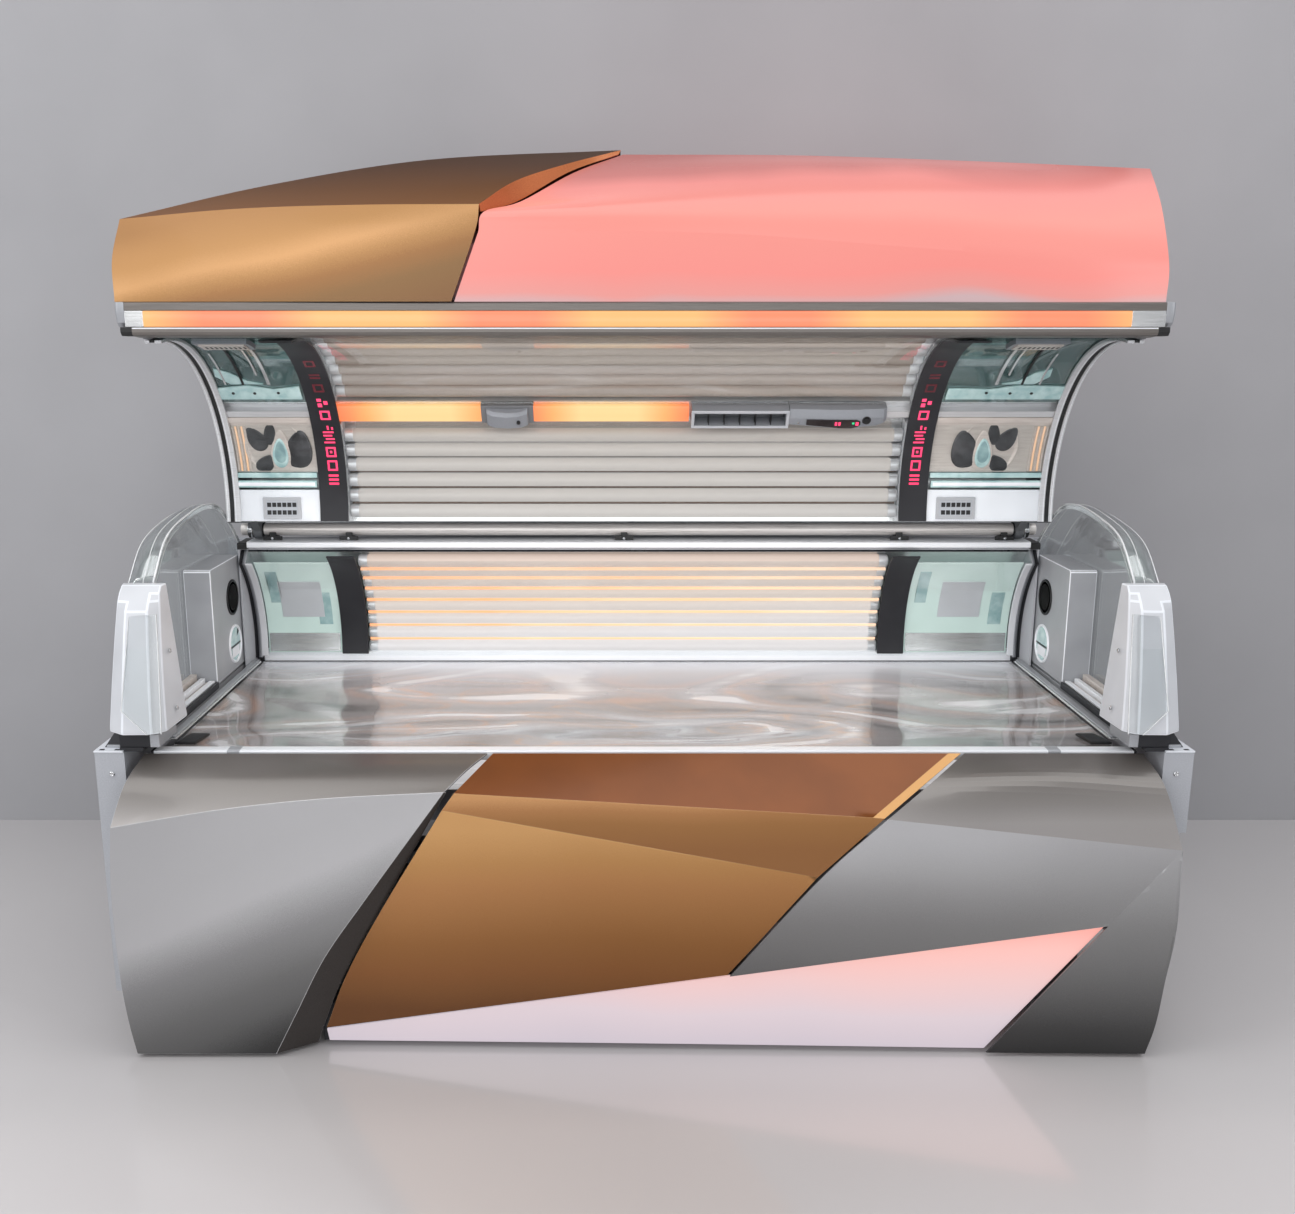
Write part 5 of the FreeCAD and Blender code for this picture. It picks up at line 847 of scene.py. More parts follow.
# ---------------------------------------------------------------- end zones of the canopy
def make_end_zone(side, sign, x0, x1):
    """Tinted glass, a backing plate with its dish and petals, a vent panel, and the fittings between them."""
    middle = (x0 + x1) / 2
    form = Form()
    form.bent(x0, x1, *ARC, 427.4, 433, 38, 99, 30)
    form.made("zone_glass_" + side, "canopy", [TEAL], sign > 0 and ["face_windows"], 1, 40)
    form = Form()
    plate = arc(*ARC, 427.6, 10.4, 29.4, 10) + arc(*ARC, 431, 29.4, 10.4, 10)
    form.prism(plate, x0, x1)
    y, z = on(ARC, 427, DISH_ANGLE)
    inward = -Vector((0, *on((0, 0), 1, DISH_ANGLE)))
    form.turned(
        [(0.5, 80), (3, 79), (4, 76), (1.5, 72), (-1, 62), (-1.5, 0.5)], (middle + 10 * sign, y, z), inward, 48, 0)
    form.bent(x0, x1, *ARC, 422, 431, 29.6, 31.6, 3)
    form.made("zone_dish_" + side, "canopy", [SATIN_PLATE], [], 0.8, 35)
    form = Form()
    upward = Vector((0, -math.sin(math.radians(DISH_ANGLE)), math.cos(math.radians(DISH_ANGLE))))

    def petal(px, pz, short, long, turn, lift, finish):
        rings = []
        for height, grow in ((0.4, 1.06), (1.8, 1.0), (2.2, 0.9)):
            ring = []
            for k in range(28):
                a = 2 * math.pi * k / 28
                u, v = grow * long * math.cos(a), grow * short * math.sin(a) * (1 - 0.3 * math.cos(a))
                across = px + u * math.cos(turn) - v * math.sin(turn)
                rise = pz + u * math.sin(turn) + v * math.cos(turn)
                place = Vector((middle + sign * across, y, z)) + upward * rise + inward * (lift + height)
                ring.append(tuple(place))
            rings.append(ring)
        form.loft(rings, finish)

    petal(-36, 26, 22, 35, 2.1, 2.2, 0)
    petal(2, 44, 14, 34, 1.4, 2.2, 0)
    petal(72, -4, 33, 52, 1.35, 2.2, 0)
    petal(-20, -46, 20, 30, 0.85, 2.2, 0)
    petal(24, -10, 25, 58, 1.5, 2.4, 2)
    petal(22, -14, 19, 40, 1.5, 4.0, 1)
    petal(23, -10, 14, 30, 1.5, 5.2, 3)
    form.made(
        "zone_petals_" + side, "canopy", [SMOKE, TEAL_SOLID, SATIN_PLATE, TEAL_DEEP], [], 0.4, 40)
    form = Form()
    form.bent(x0 + 6, x1 - 4, *ARC, 419, 429, 4.9, 7.4, 4)
    form.bent(x0 + 2, x1 - 2, *ARC, 421.5, 429, 8.4, 10.2, 3)
    form.bent(x0 + 10, x1 - 8, *ARC, 417.8, 419.4, 5.5, 6.8, 3, 1)
    form.made("zone_bands_" + side, "canopy", [TEAL_SOLID, WHITE_ABS_PAINTED_LIGHT], [], 0.8, 40)
    form = Form()
    form.bent(x0, x1, *ARC, 424.4, 434, -7.4, 3.9, 8)
    bezel = (x0 + 78, x0 + 178) if sign > 0 else (x0 + 24, x0 + 127)
    centre = sum(bezel) / 2
    form.bent(bezel[0], bezel[1], *ARC, 418.5, 424.6, -6.6, 1.2, 6, 1)
    form.bent(bezel[0] + 8, bezel[1] - 8, *ARC, 417.4, 418.8, -5.6, 0.2, 6, 2)
    for low in (-5.0, -2.2):
        for i in range(6):
            x = centre + 13.4 * (i - 2.5)
            form.bent(x - 5.4, x + 5.4, *ARC, 416.4, 417.6, low, low + 1.6, 1, 3)
    form.made(
        "zone_vent_" + side, "canopy", [WHITE_ABS_PAINTED_LIGHT, SILVER_ABS, UNIT_GREY_PAINTED_HIGHLIGHT, BLACK_ABS],
        sign > 0 and ["vent_panels"], 1.2, 40)
    form = Form()
    edge = x0 + 19 if sign > 0 else x1 - 19
    for i in range(5):
        x = edge + sign * 8 * i
        form.bent(min(x, x + sign * 4.5), max(x, x + sign * 4.5), *ARC, 424.5, 427.5, 10.8, 27.8, 8, i % 2)
    form.made("zone_edge_strips_" + side, "canopy", [SATIN_PLATE, PEACH_PAINTED_REFLECTION], [], 0.4, 40)
    form = Form()
    grip0, grip1 = middle - 70, middle + 56
    form.bent(grip0, grip1, *ARC, 412, 424, 74, 84, 8)
    form.bent(grip0 + 10, grip1 - 10, *ARC, 408.5, 412.5, 75.5, 82, 6, 2)
    for i in range(9):
        x = grip0 + 20 + 11 * i
        form.bent(x, x + 5, *ARC, 407.8, 408.8, 77, 79.5, 2, 1)
    form.made("zone_bracket_" + side, "canopy", [UNIT_GREY, BLACK_ABS, SATIN_PLATE], [], 2.0, 40)
    form = Form()
    for dx, low, high, wide, finish in (
            (-30, 47, 76, 3, 0), (34, 47, 72, 4, 1), (12, 52, 74, 2.5, 1), (-74, 47, 66, 2.5, 1)):
        form.bent(middle + dx * sign - wide, middle + dx * sign + wide, *ARC, 421.5, 425.5, low, high, 12, finish)
    shelf = [
        (x0 + 6, 40), (x0 + 6, 45), (middle - 20 * sign, 46.5), (middle + 40 * sign, 44.5), (x1 - 6, 46),
        (x1 - 6, 40)]
    if sign < 0:
        shelf = [shelf[0], shelf[1], shelf[3], shelf[2], shelf[4], shelf[5]]
    form.loft([[(x, *on(ARC, radius, angle)) for x, angle in shelf] for radius in (421, 426)], 2)
    wing = [(-20, 47), (18, 48.5), (52, 53), (88, 55.5), (92, 51), (60, 47)]
    form.loft([[(middle - sign * x, *on(ARC, radius, angle)) for x, angle in wing] for radius in (423, 426.5)], 2)
    for dx, angle in ((-62, 43), (-8, 43), (52, 43.2)):
        form.turned(
            [(0, 4), (2, 4), (2.6, 2.6)], (middle + dx * sign, *on(ARC, 421, angle)),
            (0, -math.cos(math.radians(angle)), -math.sin(math.radians(angle))), 12)
    form.made("zone_stays_" + side, "canopy", [BLACK_ABS, REFLECTOR, TEAL_SOLID], [], 0.6, 40)
    form = Form()
    for near, far, radius, finish in (
            (1089, 1099.5, 416.6, 0), (1094, 1096, 416.0, 1), (1078, 1088.6, 418.4, 2), (1062, 1077.6, 416.8, 0),
            (1073, 1075, 416.2, 1)):
        a, b = sorted((sign * -near, sign * -far))
        form.bent(a, b, *ARC, radius, 424, -7.6, 99.6, 50, finish)
    form.made(
        "canopy_edge_trim_" + side, "canopy", [ALUMINIUM, WHITE_ALUMINIUM, BLACK_ABS], [], 0.8,
        40)


# ---------------------------------------------------------------- band of units
def make_band_units():
    def housing(form, x0, x1, r0, r1, u0, u1, finish=0):
        form.prism([band(r0, u0), band(r1, u0), band(r1, u1), band(r0, u1)], x0, x1, finish)

    form = Form()
    housing(form, -408.7, -274.3, 424, 446, -27, 27, 1)
    shell = []
    for x, r, low, high in (
            (-395, 423, -22, 22), (-393, 410, -23, 19), (-376, 403, -26, 16), (-341, 400, -27, 14),
            (-306, 403, -26, 16), (-289, 410, -23, 19), (-287, 423, -22, 22)):
        shell.append(
            [(x, *band(r, low)), (x, *band(424, low)), (x, *band(424, high + 3)), (x, *band(r + 8, high + 2)),
            (x, *band(r, high - 6))])
    form.loft(shell)
    form.turned([(0, 5), (5, 5), (6, 2)], (-312, *band(402.5, -8)), OUT_OF_BAND, 16, 2)
    form.made(
        "nozzle_housing", "canopy", [UNIT_GREY, DARK_SILVER, BLACK_ABS], ["nozzle_unit"], 2.5,
        25, 3)

    form = Form()
    for x0, x1, u0, u1 in ((130, 380, 20, 27), (130, 380, -27, -20), (130, 138, -20, 20), (372, 380, -20, 20)):
        housing(form, x0, x1, 401, 404, u0, u1)
        housing(form, x0 + 0.5, x1 - 0.5, 404, 446, u0, u1 - (1.5 if u1 > 25 else 0), 1)
    housing(form, 138, 372, 440, 446, -20, 20, 2)
    form.made(
        "outlet_frame", "canopy", [UNIT_GREY_PAINTED_HIGHLIGHT, UNIT_GREY, DARK_SILVER], ["air_outlet"], 1.2, 30, 2)

    form = Form()
    top, low = 27, -27
    rings = []
    for x, r, u_low, u_high in (
            (380.4, 401, low + 9, top), (420, 400, low + 6, top), (480, 398, low + 1, top), (560, 398, low, top),
            (568, 401.4, low + 1, top), (590, 401.6, low + 3, top), (606, 402, low + 5, top),
            (622, 405, low + 10, top - 1), (630, 411, low + 14, top - 3)):
        rings.append(
            [(x, *band(446, u_low)), (x, *band(446, u_high)), (x, *band(r + 9, u_high)), (x, *band(r + 1, 8)),
            (x, *band(r, 2)), (x, *band(r + 1, u_low + 4)), (x, *band(r + 6, u_low))])
    form.loft(rings)
    lens = [(424, 3), (552, 3), (562, -2), (563, -10), (557, -18), (541, -23), (510, -22.5), (424, -12)]
    form.loft([[(x, *band(r, u)) for x, u in lens] for r in (399.5, 395.8)], 1)
    for x0, x1, u0, u1, finish in (
            (497, 503, -14, -3, 2), (506, 512, -14, -3, 2), (541, 547, -10, -4, 3), (550, 558, -14, -3, 2)):
        housing(form, x0, x1, 395.3, 395.9, u0, u1, finish)
    form.turned([(0, 3.2), (1.2, 2.6)], (404, *band(399.5, -8)), OUT_OF_BAND, 12, 4)
    form.turned(
        [(-1, 9.6), (0.6, 9.8), (0.9, 10.6), (0.4, 11.4), (-1, 11.6)], (578, *band(401.4, -2)), OUT_OF_BAND, 32, 1,
        False)
    form.made(
        "control_housing", "canopy", [UNIT_GREY, DISPLAY, RED_GLOW, GREEN_GLOW, CHROME],
        ["control_unit", "control_display"], 2.5, 25, 3)

    form = Form()
    corners = ((446, -24), (446, 24), (427, 24), (424, 20), (422.5, 0), (424, -20), (427, -24))
    for x0, x1 in ((-787, -409), (-274, 125)):
        form.prism([band(*corner) for corner in corners], x0, x1)
    form.made("inner_light_strips", "canopy", [STRIP_OPAL], ["light_bars"], 1, 40)
    form = Form()
    outline = [
        (-436.2, 1611.3), (-436.2, 1644.7), (-442, 1644.7), (-445.2, 1641), (-446.4, 1634), (-446.8, 1628),
        (-446.4, 1622), (-445.2, 1615), (-442, 1611.3)]
    form.prism(outline, -1078, 1045)
    form.made("front_light_bar", "canopy", [BAR_OPAL], ["light_bars"], 0.6, 50)


make_all_lamps()
make_lamp_gaps()
make_dark_covers()
make_end_zone("left", 1, -1079, -851)
make_end_zone("right", -1, 766, 1079)
make_band_units()


# ---------------------------------------------------------------- end pods
# X of the pods' inner faces, and the front pillars' foot and height.
POD = 1105
PILLAR_FOOT, PILLAR_HEIGHT = 738, 312


def dome_ring(inset, x):
    """The D-shaped outline of a dome, drawn in by an inset, at a place along X."""
    front, back = -435 + inset * 0.35, 350 - inset * 0.6
    line = [
        (front, 700), (front, 1052 - inset * 0.9), (-340 + inset * 0.5, 1134 - inset), (-200, 1166 - inset),
        (-45, 1175 - inset), (80, 1142 - inset), (232 - inset * 0.5, 1012 - inset * 0.8), (back - 18, 832),
        (back, 700)]
    fine = [line[0]] + [(p[1], p[2]) for p in through([(0, *p) for p in line[1:8]], 6)] + [line[8]]
    return [(x, y, z) for y, z in fine]


def make_dome(side, sign):
    """Clear covers: a narrow return towards the bed, a rolled shoulder, and polished edges and lines across the
    shoulder in a painted highlight.
    """
    form = Form()
    steps = ((1105, 0), (1128, 1.5), (1150, 6), (1166, 16), (1177, 32), (1183, 54), (1185, 84))
    rings = [dome_ring(inset, sign * x) for x, inset in steps]
    form.sheet(rings)
    last = rings[-1]
    middle = (sign * 1185, -60, 900)
    form.put(
        last + [middle], [(i, i + 1, len(last)) for i in range(len(last) - 1)] + [(len(last) - 1, 0, len(last))])
    dome = form.made(
        "dome_" + side, "bench", [DOME_ACRYLIC, ACRYLIC_EDGE_PAINTED_HIGHLIGHT], sign > 0 and ["end_domes"], 0, 30,
        2, 3, (sign, 0, 0))
    dome.modifiers["wall"].material_offset_rim = 1
    form = Form()
    rim = dome_ring(0, sign * 1103)
    inner = dome_ring(13, sign * 1103)
    form.sheet([rim, inner])
    lip = form.made(
        "dome_rim_" + side, "bench", [DOME_ACRYLIC, ACRYLIC_EDGE_PAINTED_HIGHLIGHT], [], 0, 30, 2, 2.6,
        (-sign, 0, 0))
    lip.modifiers["wall"].material_offset_rim = 1
    form = Form()
    for x, inset, wide in ((1104, 0, 3.2), (1128, 1.5, 1.6), (1166, 16, 2.0)):
        form.sheet([
            [(a + sign * dx, y - 1.2 * (y < 0) + 1.2 * (y > 200), z + 1.2 * (z > 1000))
             for a, y, z in dome_ring(inset, sign * x)] for dx in (0, wide)])
    form.made("dome_lines_" + side, "bench", [ACRYLIC_EDGE_PAINTED_HIGHLIGHT], [], 0, 30, 2, 1.0, (0, 0, 1))


def under_rim(y, z):
    """Y drawn back to where the canopy's rim, shut, passes over the pillars: 412 mm from its own centre."""
    rise = min(z - 728.5, 400)
    return max(y, -209 - math.sqrt(412 ** 2 - rise ** 2)) if rise > 0 else y


def make_front_pillar(side, sign):
    """Tapered white mouldings: a broad creased face, its top rolled back, and a clear guard plate towards the bed;
    their rounded edges are in a painted highlight.
    """
    foot = [(-56, -442), (-50, -560), (-26, -588), (38, -590), (76, -562), (82, -442)]
    head = [(-31, -442), (-28, -478), (-8, -500), (36, -502), (60, -486), (66, -442)]
    form = Form()
    rings = []
    for t in (0, 0.04, 0.33, 0.66, 0.84, 0.9, 0.95, 0.985, 1):
        pull = 0.0 if 0 < t < 1 else 2.0
        ring = []
        for (x0, y0), (x1, y1) in zip(foot, head):
            bow, z = 6 * math.sin(math.pi * t), PILLAR_FOOT + PILLAR_HEIGHT * t
            x, y = x0 + (x1 - x0) * t, y0 + (y1 - y0) * t
            y = y + (pull if y < -500 else 0) - (bow if y < -480 else 0)
            ring.append((sign * (POD + x), under_rim(y, z), z))
        rings.append(ring)
    form.loft(rings)
    form.made(
        "front_pillar_" + side, "bench", [WHITE_ABS, WHITE_ABS_PAINTED_LIGHT], sign > 0 and ["front_pillars"],
        3, 18, 3, crease=1)
    form = Form()
    guard = [
        (28, 990, -516), (31, 900, -548), (36, 793, -581), (-20, 743, -594), (-50, 743, -588), (-40, 900, -545),
        (-31, 994, -514)]
    form.loft([[(sign * (POD + x), y - lift, z) for x, z, y in guard] for lift in (3, 5.6)])
    for ends in zip(guard, guard[1:] + guard[:1]):
        form.loft([
            [(sign * (POD + x + d * sign), y - e, z) for d, e in ((-1, 2.6), (1, 2.6), (1, 6.2), (-1, 6.2))]
            for x, z, y in ends], 1)
    form.made("pillar_guard_" + side, "bench", [DOME_ACRYLIC, ACRYLIC_EDGE_PAINTED_HIGHLIGHT])
    form = Form()
    for z, y, dx in ((775, -500, -54), (905, -490, -44)):
        form.turned([(0, 5), (2.2, 5), (3, 3.6), (3, 1)], (sign * (POD + dx), y, z), (-sign, 0, 0.16), 14)
    form.made("pillar_screws_" + side, "bench", [CHROME])


def make_rear_pillar(side, sign):
    """Boxes with a frame line, a speaker behind cloth and a ringed round vent; the frame line and rounded edges are in
    a painted highlight.
    """
    form = Form()
    outline = [(-40, 700), (205, 700), (205, 1000), (200, 1003), (-35, 1003), (-40, 998)]
    form.prism(outline, sign * 1109, sign * 1179)
    form.prism([(-34, 712), (-34, 990), (-38, 990), (-38, 712)], sign * 1116, sign * 1172, 1)
    form.made(
        "rear_pillar_" + side, "bench", [GREY_ABS, WHITE_ABS_PAINTED_LIGHT], sign > 0 and ["rear_pillars"], 3,
        30, 3, crease=1)
    form = Form()
    face = sign * 1109
    form.turned(
        [(-2, 40), (3, 43), (4.2, 46), (3.4, 48.5), (-2, 49)], (face, 125, 898), (-sign, 0, 0), 40, 0, False)
    form.turned([(2.6, 42), (3.4, 30), (3.8, 12), (4, 0.5)], (face, 125, 898), (-sign, 0, 0), 40, 1)
    form.turned([(-2, 46), (3, 47), (4.4, 50), (3.4, 53), (-2, 54)], (face, 125, 768), (-sign, 0, 0), 40, 2, False)
    form.turned([(0.5, 47), (0.8, 0.5)], (face, 125, 768), (-sign, 0, 0), 40, 3)
    for low, high, finish in ((-6, -2, 0), (-34, -8, 2), (-40, -36, 3)):
        reach = 44 * math.cos(math.asin(max(abs(low), abs(high)) / 47))
        form.block(
            min(face, face - sign * 2), max(face, face - sign * 2), 125 - reach, 125 + reach, 768 + low,
            768 + high, finish)
    form.made(
        "pod_fittings_" + side, "bench", [BLACK_ABS, SPEAKER_CLOTH, WHITE_ABS_PAINTED_LIGHT, TEAL_SOLID],
        sign > 0 and ["pod_fittings"])


def make_ledge(side, sign):
    """Decks beside the bed: ribs, a long satin rail, the pillar's seat and a small dark grip."""
    form = Form()
    form.aside(sign, 1112, 1200, -540, 352, 690, 700)
    form.aside(sign, 1112, 1116, -470, 352, 660, 690)
    form.aside(sign, 1075, 1096, -556, -446, 700, 738)
    form.aside(sign, 1096, 1165, -554, -446, 700, 738, 2)
    form.aside(sign, 1112, 1165, -556, -446, 690, 700, 2)
    form.aside(sign, 1103.5, 1111.5, -440, -46, 690, 708, 2)
    for x, wide, high, finish in (
            (1114, 15, 10, 1), (1131, 6, 6, 4), (1139, 13, 17, 1), (1154, 4, 8, 2), (1160, 17, 28, 4)):
        form.aside(sign, x, x + wide, -430, -46, 700, 700 + high, finish)
    form.aside(sign, 1077, 1101, -444, 250, 681, 686, 3)
    form.aside(sign, 1081, 1098, -444, 250, 686, 690)
    form.made(
        "side_ledge_" + side, "bench",
        [SILVER_ABS, WHITE_ALUMINIUM, CHARCOAL_ABS, REFLECTOR, SATIN_PLATE], sign > 0 and ["side_ledges"], 1.5, 30)
    form = Form()
    foot = [(1030, -458), (1079, -458), (1062, -392), (1018, -392)]
    head = [(1034, -453), (1074, -453), (1059, -397), (1023, -397)]
    form.loft([[(sign * x, y, z) for x, y in ring] for ring, z in ((foot, 674), (foot, 679), (head, 681))])
    form.made("pod_grip_" + side, "bench", [BLACK_ABS], [], 1, 30)


def make_column_fittings(side, sign):
    """On each side column: a white capping with two slots, a dark bracket on two screws, and a screw in the face."""
    form = Form()
    form.aside(sign, 1156, 1221, -562, -470, 690, 693.5)
    for x in (1166, 1200):
        form.aside(sign, x, x + 11, -556, -548, 693.2, 694.2, 1)
    foot, head = (1098, 1206, -536, -474), (1102, 1188, -524, -478)
    form.loft(
        [[(sign * (x0 if a else x1), y1 if b else y0, z) for a, b in ((0, 0), (1, 0), (1, 1), (0, 1))]
        for (x0, x1, y0, y1), z in ((foot, 693.5), (head, 722))], 1)
    for x, z in ((1128, 710), (1176, 703)):
        form.turned(
            [(0, 5), (2, 5), (3, 3.4), (3, 0.6)], (sign * x, -531 + (z - 693.5) * 0.5, z), (0, -0.9, 0.43), 14, 2)
    form.turned([(0, 6), (2, 6), (3.2, 4), (2, 2.4), (2, 0.4)], (sign * 1184, -560, 640), (0, -1, 0), 16, 2)
    form.made("column_fittings_" + side, "bench", [WHITE_ABS_PAINTED_LIGHT, CHARCOAL_ABS, CHROME], [], 1.0, 30)


# ---------------------------------------------------------------- rails
def make_rails():
    """Anodised profiles: lips and grooves as the die left them, with plastic end caps and joint clips."""
    form = Form()
    front = [
        (-520, 660), (-518, 658), (-482, 658), (-480, 660), (-480, 674), (-483, 676), (-486, 676), (-487, 679),
        (-490, 680), (-512, 680), (-514, 678.6), (-516, 680), (-519, 679.4), (-520, 677)]
    form.prism(front, -1104, 1104)
    for x in (-925, 925):
        form.prism(
            [(y - 0.8 if y < -500 else y + 0.6, z + (0.8 if z > 670 else -0.6)) for y, z in front], x - 14, x + 14,
            1)
    for x0, x1 in ((-1110, -1103.8), (1103.8, 1110)):
        form.block(x0, x1, -520, -480, 658, 680, 2)
    form.made(
        "front_rail_profile", "bench", [WHITE_ALUMINIUM, SILVER_ABS, CHARCOAL_ABS],
        ["front_rail"], 0.8, 25)

    form = Form()
    rear = [
        (288, 667), (291, 664), (322, 658), (325, 661), (325, 703), (322, 706), (302, 706), (300, 704), (298, 706),
        (291, 706), (288, 703)]
    form.prism(rear, -1078, 1078)
    form.prism([(259, 658), (288, 658), (288, 674), (284, 674), (259, 667)], -1082, 1082, 2)
    form.prism([(284.5, 674), (289, 674), (289, 677), (284.5, 676)], -1078, 1078, 1)
    for x0, x1 in ((-1085, -1077.8), (1077.8, 1085)):
        form.block(x0, x1, 285, 325, 658, 706, 1)
    form.made(
        "rear_rail_profile", "bench", [WHITE_ALUMINIUM, CHARCOAL_ABS, WHITE_ABS_PAINTED_LIGHT],
        ["rear_wall_trims"], 0.8, 25)

    form = Form()
    seal = [
        (170, 1028), (172, 1026), (256, 1026), (258, 1028), (258, 1040), (255, 1043), (190, 1043), (187, 1040.5),
        (184, 1043), (173, 1043), (170, 1040)]
    form.prism(seal, -1074, 1074)
    for x0, x1 in ((-1100, -1073.8), (1073.8, 1100)):
        form.prism([(168, 1022), (258, 1022), (258, 1040), (172, 1040), (168, 1036)], x0, x1, 1)
    form.made("top_profile", "bench", [WHITE_ALUMINIUM, BLACK_ABS], ["rear_wall_trims"], 0.9, 25)

    form = Form()
    for sign in (-1, 1):
        form.bent(*sorted((sign * 1080.3, sign * 1090)), *WALL, 324, 372, -9, 48.1, 28)
        form.bent(*sorted((sign * 1090, sign * 1100)), *WALL, 324, 372, -9, 48.1, 28, 1)
        form.bent(*sorted((sign * 1062, sign * 1080)), *WALL, 318, 323.6, -8, 49, 26, 2)
        form.aside(sign, 1060, 1100, 292, 320, 680, 694, 1)
    form.made(
        "wall_end_trims", "bench", [SILVER_ABS, CHARCOAL_ABS, WHITE_ABS], ["rear_wall_trims"],
        1.5, 30)


def make_wall_zone(side, x0, x1):
    """Pale green screens behind the rear pane's ends, with the clips and the plate that they hold."""
    middle = (x0 + x1) / 2
    form = Form()
    form.bent(x0, x1, *WALL, 331, 334, -6.5, 47, 26)
    form.bent(middle - 58, middle + 62, *WALL, 329, 331.5, 12, 33, 10, 1)
    form.bent(x0 + 20, x0 + 52, *WALL, 329.5, 331.5, 20, 40, 10, 2)
    form.bent(x1 - 60, x1 - 22, *WALL, 329.5, 331.5, 8, 26, 10, 2)
    form.bent(x0 + 4, x1 - 4, *WALL, 328.6, 331.5, -6, 3.5, 6, 3)
    form.made(
        "wall_screen_" + side, "bench", [PALE_GREEN_PAINTED_GLOW, WHITE_ABS, TEAL_SOLID, REFLECTOR], [], 1, 30)


# ---------------------------------------------------------------- hinge
HINGE = (225, 1070)


def make_hinge():
    form = Form()
    line = [
        (-1100, 14), (-1098, 16.6), (-1062, 17), (-1061, 16), (-1052, 16), (-1051, 17), (-1046, 17), (-1045, 16),
        (-1036, 16), (-1035, 17)]
    line = line + [(-x, r) for x, r in reversed(line)]
    form.turned(line, (0, *HINGE), (1, 0, 0), 40)
    for x in (-1056.5, -1040.5, 1040.5, 1056.5):
        form.turned(
            [(x - 4.3, 16.2), (x - 4.3, 17.6), (x + 4.3, 17.6), (x + 4.3, 16.2)], (0, *HINGE), (1, 0, 0), 40, 1,
            False)
    form.made("hinge_tube", "bench", [HINGE_STEEL, BLACK_ABS], ["hinge_shaft"])
    form = Form()
    for x in (-1010, -800, -40, 720, 1010):
        form.prism(
            [(246, 1040), (246, 1063)] + arc(*HINGE, 17.3, -20, -160, 14) + [(204, 1063), (204, 1040)], x - 9,
            x + 9)
        form.block(x - 26, x + 26, 199.5, 206, 1042, 1054)
        form.turned([(0, 4), (3, 4), (3.8, 2.6)], (x, 199.5, 1048), (0, -1, 0), 12, 1)
    for sign in (-1, 1):
        form.turned(
            [(sign * 1066, 18), (sign * 1066, 23), (sign * 1067, 24), (sign * 1078, 24), (sign * 1079, 23),
            (sign * 1079, 18)], (0, *HINGE), (1, 0, 0), 32, 1, False)
    form.made("hinge_clamps", "bench", [BLACK_PAINT, CHROME], ["hinge_brackets"], 1.2, 30)


# ---------------------------------------------------------------- back and sides
BACK_LINE = [(300, 1690), (440, 1622), (570, 1520), (650, 1415), (680, 1300), (664, 1220), (620, 1150)]
FANS_AT, FAN_HEIGHT = (-520, 520), 520
COVER_LINE = [(560, 118), (560, 816), (556, 828), (474, 960), (466, 968), (389, 1020)]


def make_hood_back():
    """Three formed covers over the canopy's back, with pressed lips over its air slots, and their screws."""
    curve = [(p[1], p[2]) for p in through([(0, *p) for p in BACK_LINE], 5)]
    facets = [(299, 1687), (568, 1517), (677, 1300), (618, 1153)]
    spans = ((-1093, -367), (-363, 363), (367, 1093))
    form = Form()
    for x0, x1 in spans:
        form.prism([(y + 1.5, z + 0.8) for y, z in curve] + facets[::-1], x0, x1)
    form.made("hood_back_covers", "canopy", [GREY_ABS], [], 3.0, 25, 3)
    form = Form()
    for x0, x1 in spans:
        for i in range(7):
            (ya, za), (yb, zb) = curve[13 + i], curve[14 + i]
            y, z = (ya + yb) / 2 + 1.5, (za + zb) / 2 + 0.8
            down = Vector((yb - ya, zb - za)).normalized()
            out = Vector((-down[1], down[0]))
            lip = [(0, -0.6), (0, 0.4), (7, 3.2), (9, 3.0), (9, -0.6)]
            slot = [(9, -0.4), (9, 0.7), (13, 0.7), (13, -0.4)]
            for line, finish in ((lip, 0), (slot, 1)):
                form.prism(
                    [(y + down[0] * a + out[0] * b, z + down[1] * a + out[1] * b) for a, b in line],
                    (x0 + x1) / 2 - 190, (x0 + x1) / 2 + 190, finish)
        for x in (x0 + 22, (x0 + x1) / 2, x1 - 22):
            for i in (2, 27):
                y, z = curve[i]
                out = (0, 0.8, 0.6) if i == 2 else (0, 0.95, -0.3)
                form.turned([(0, 6.5), (3.2, 6.5), (4.4, 4.5), (3.4, 2.6), (3.4, 0.5)], (x, y, z), out, 16, 2)
    form.made("hood_back_slots", "canopy", [GREY_ABS, BLACK_ABS, CHROME], [], 0.6, 40)


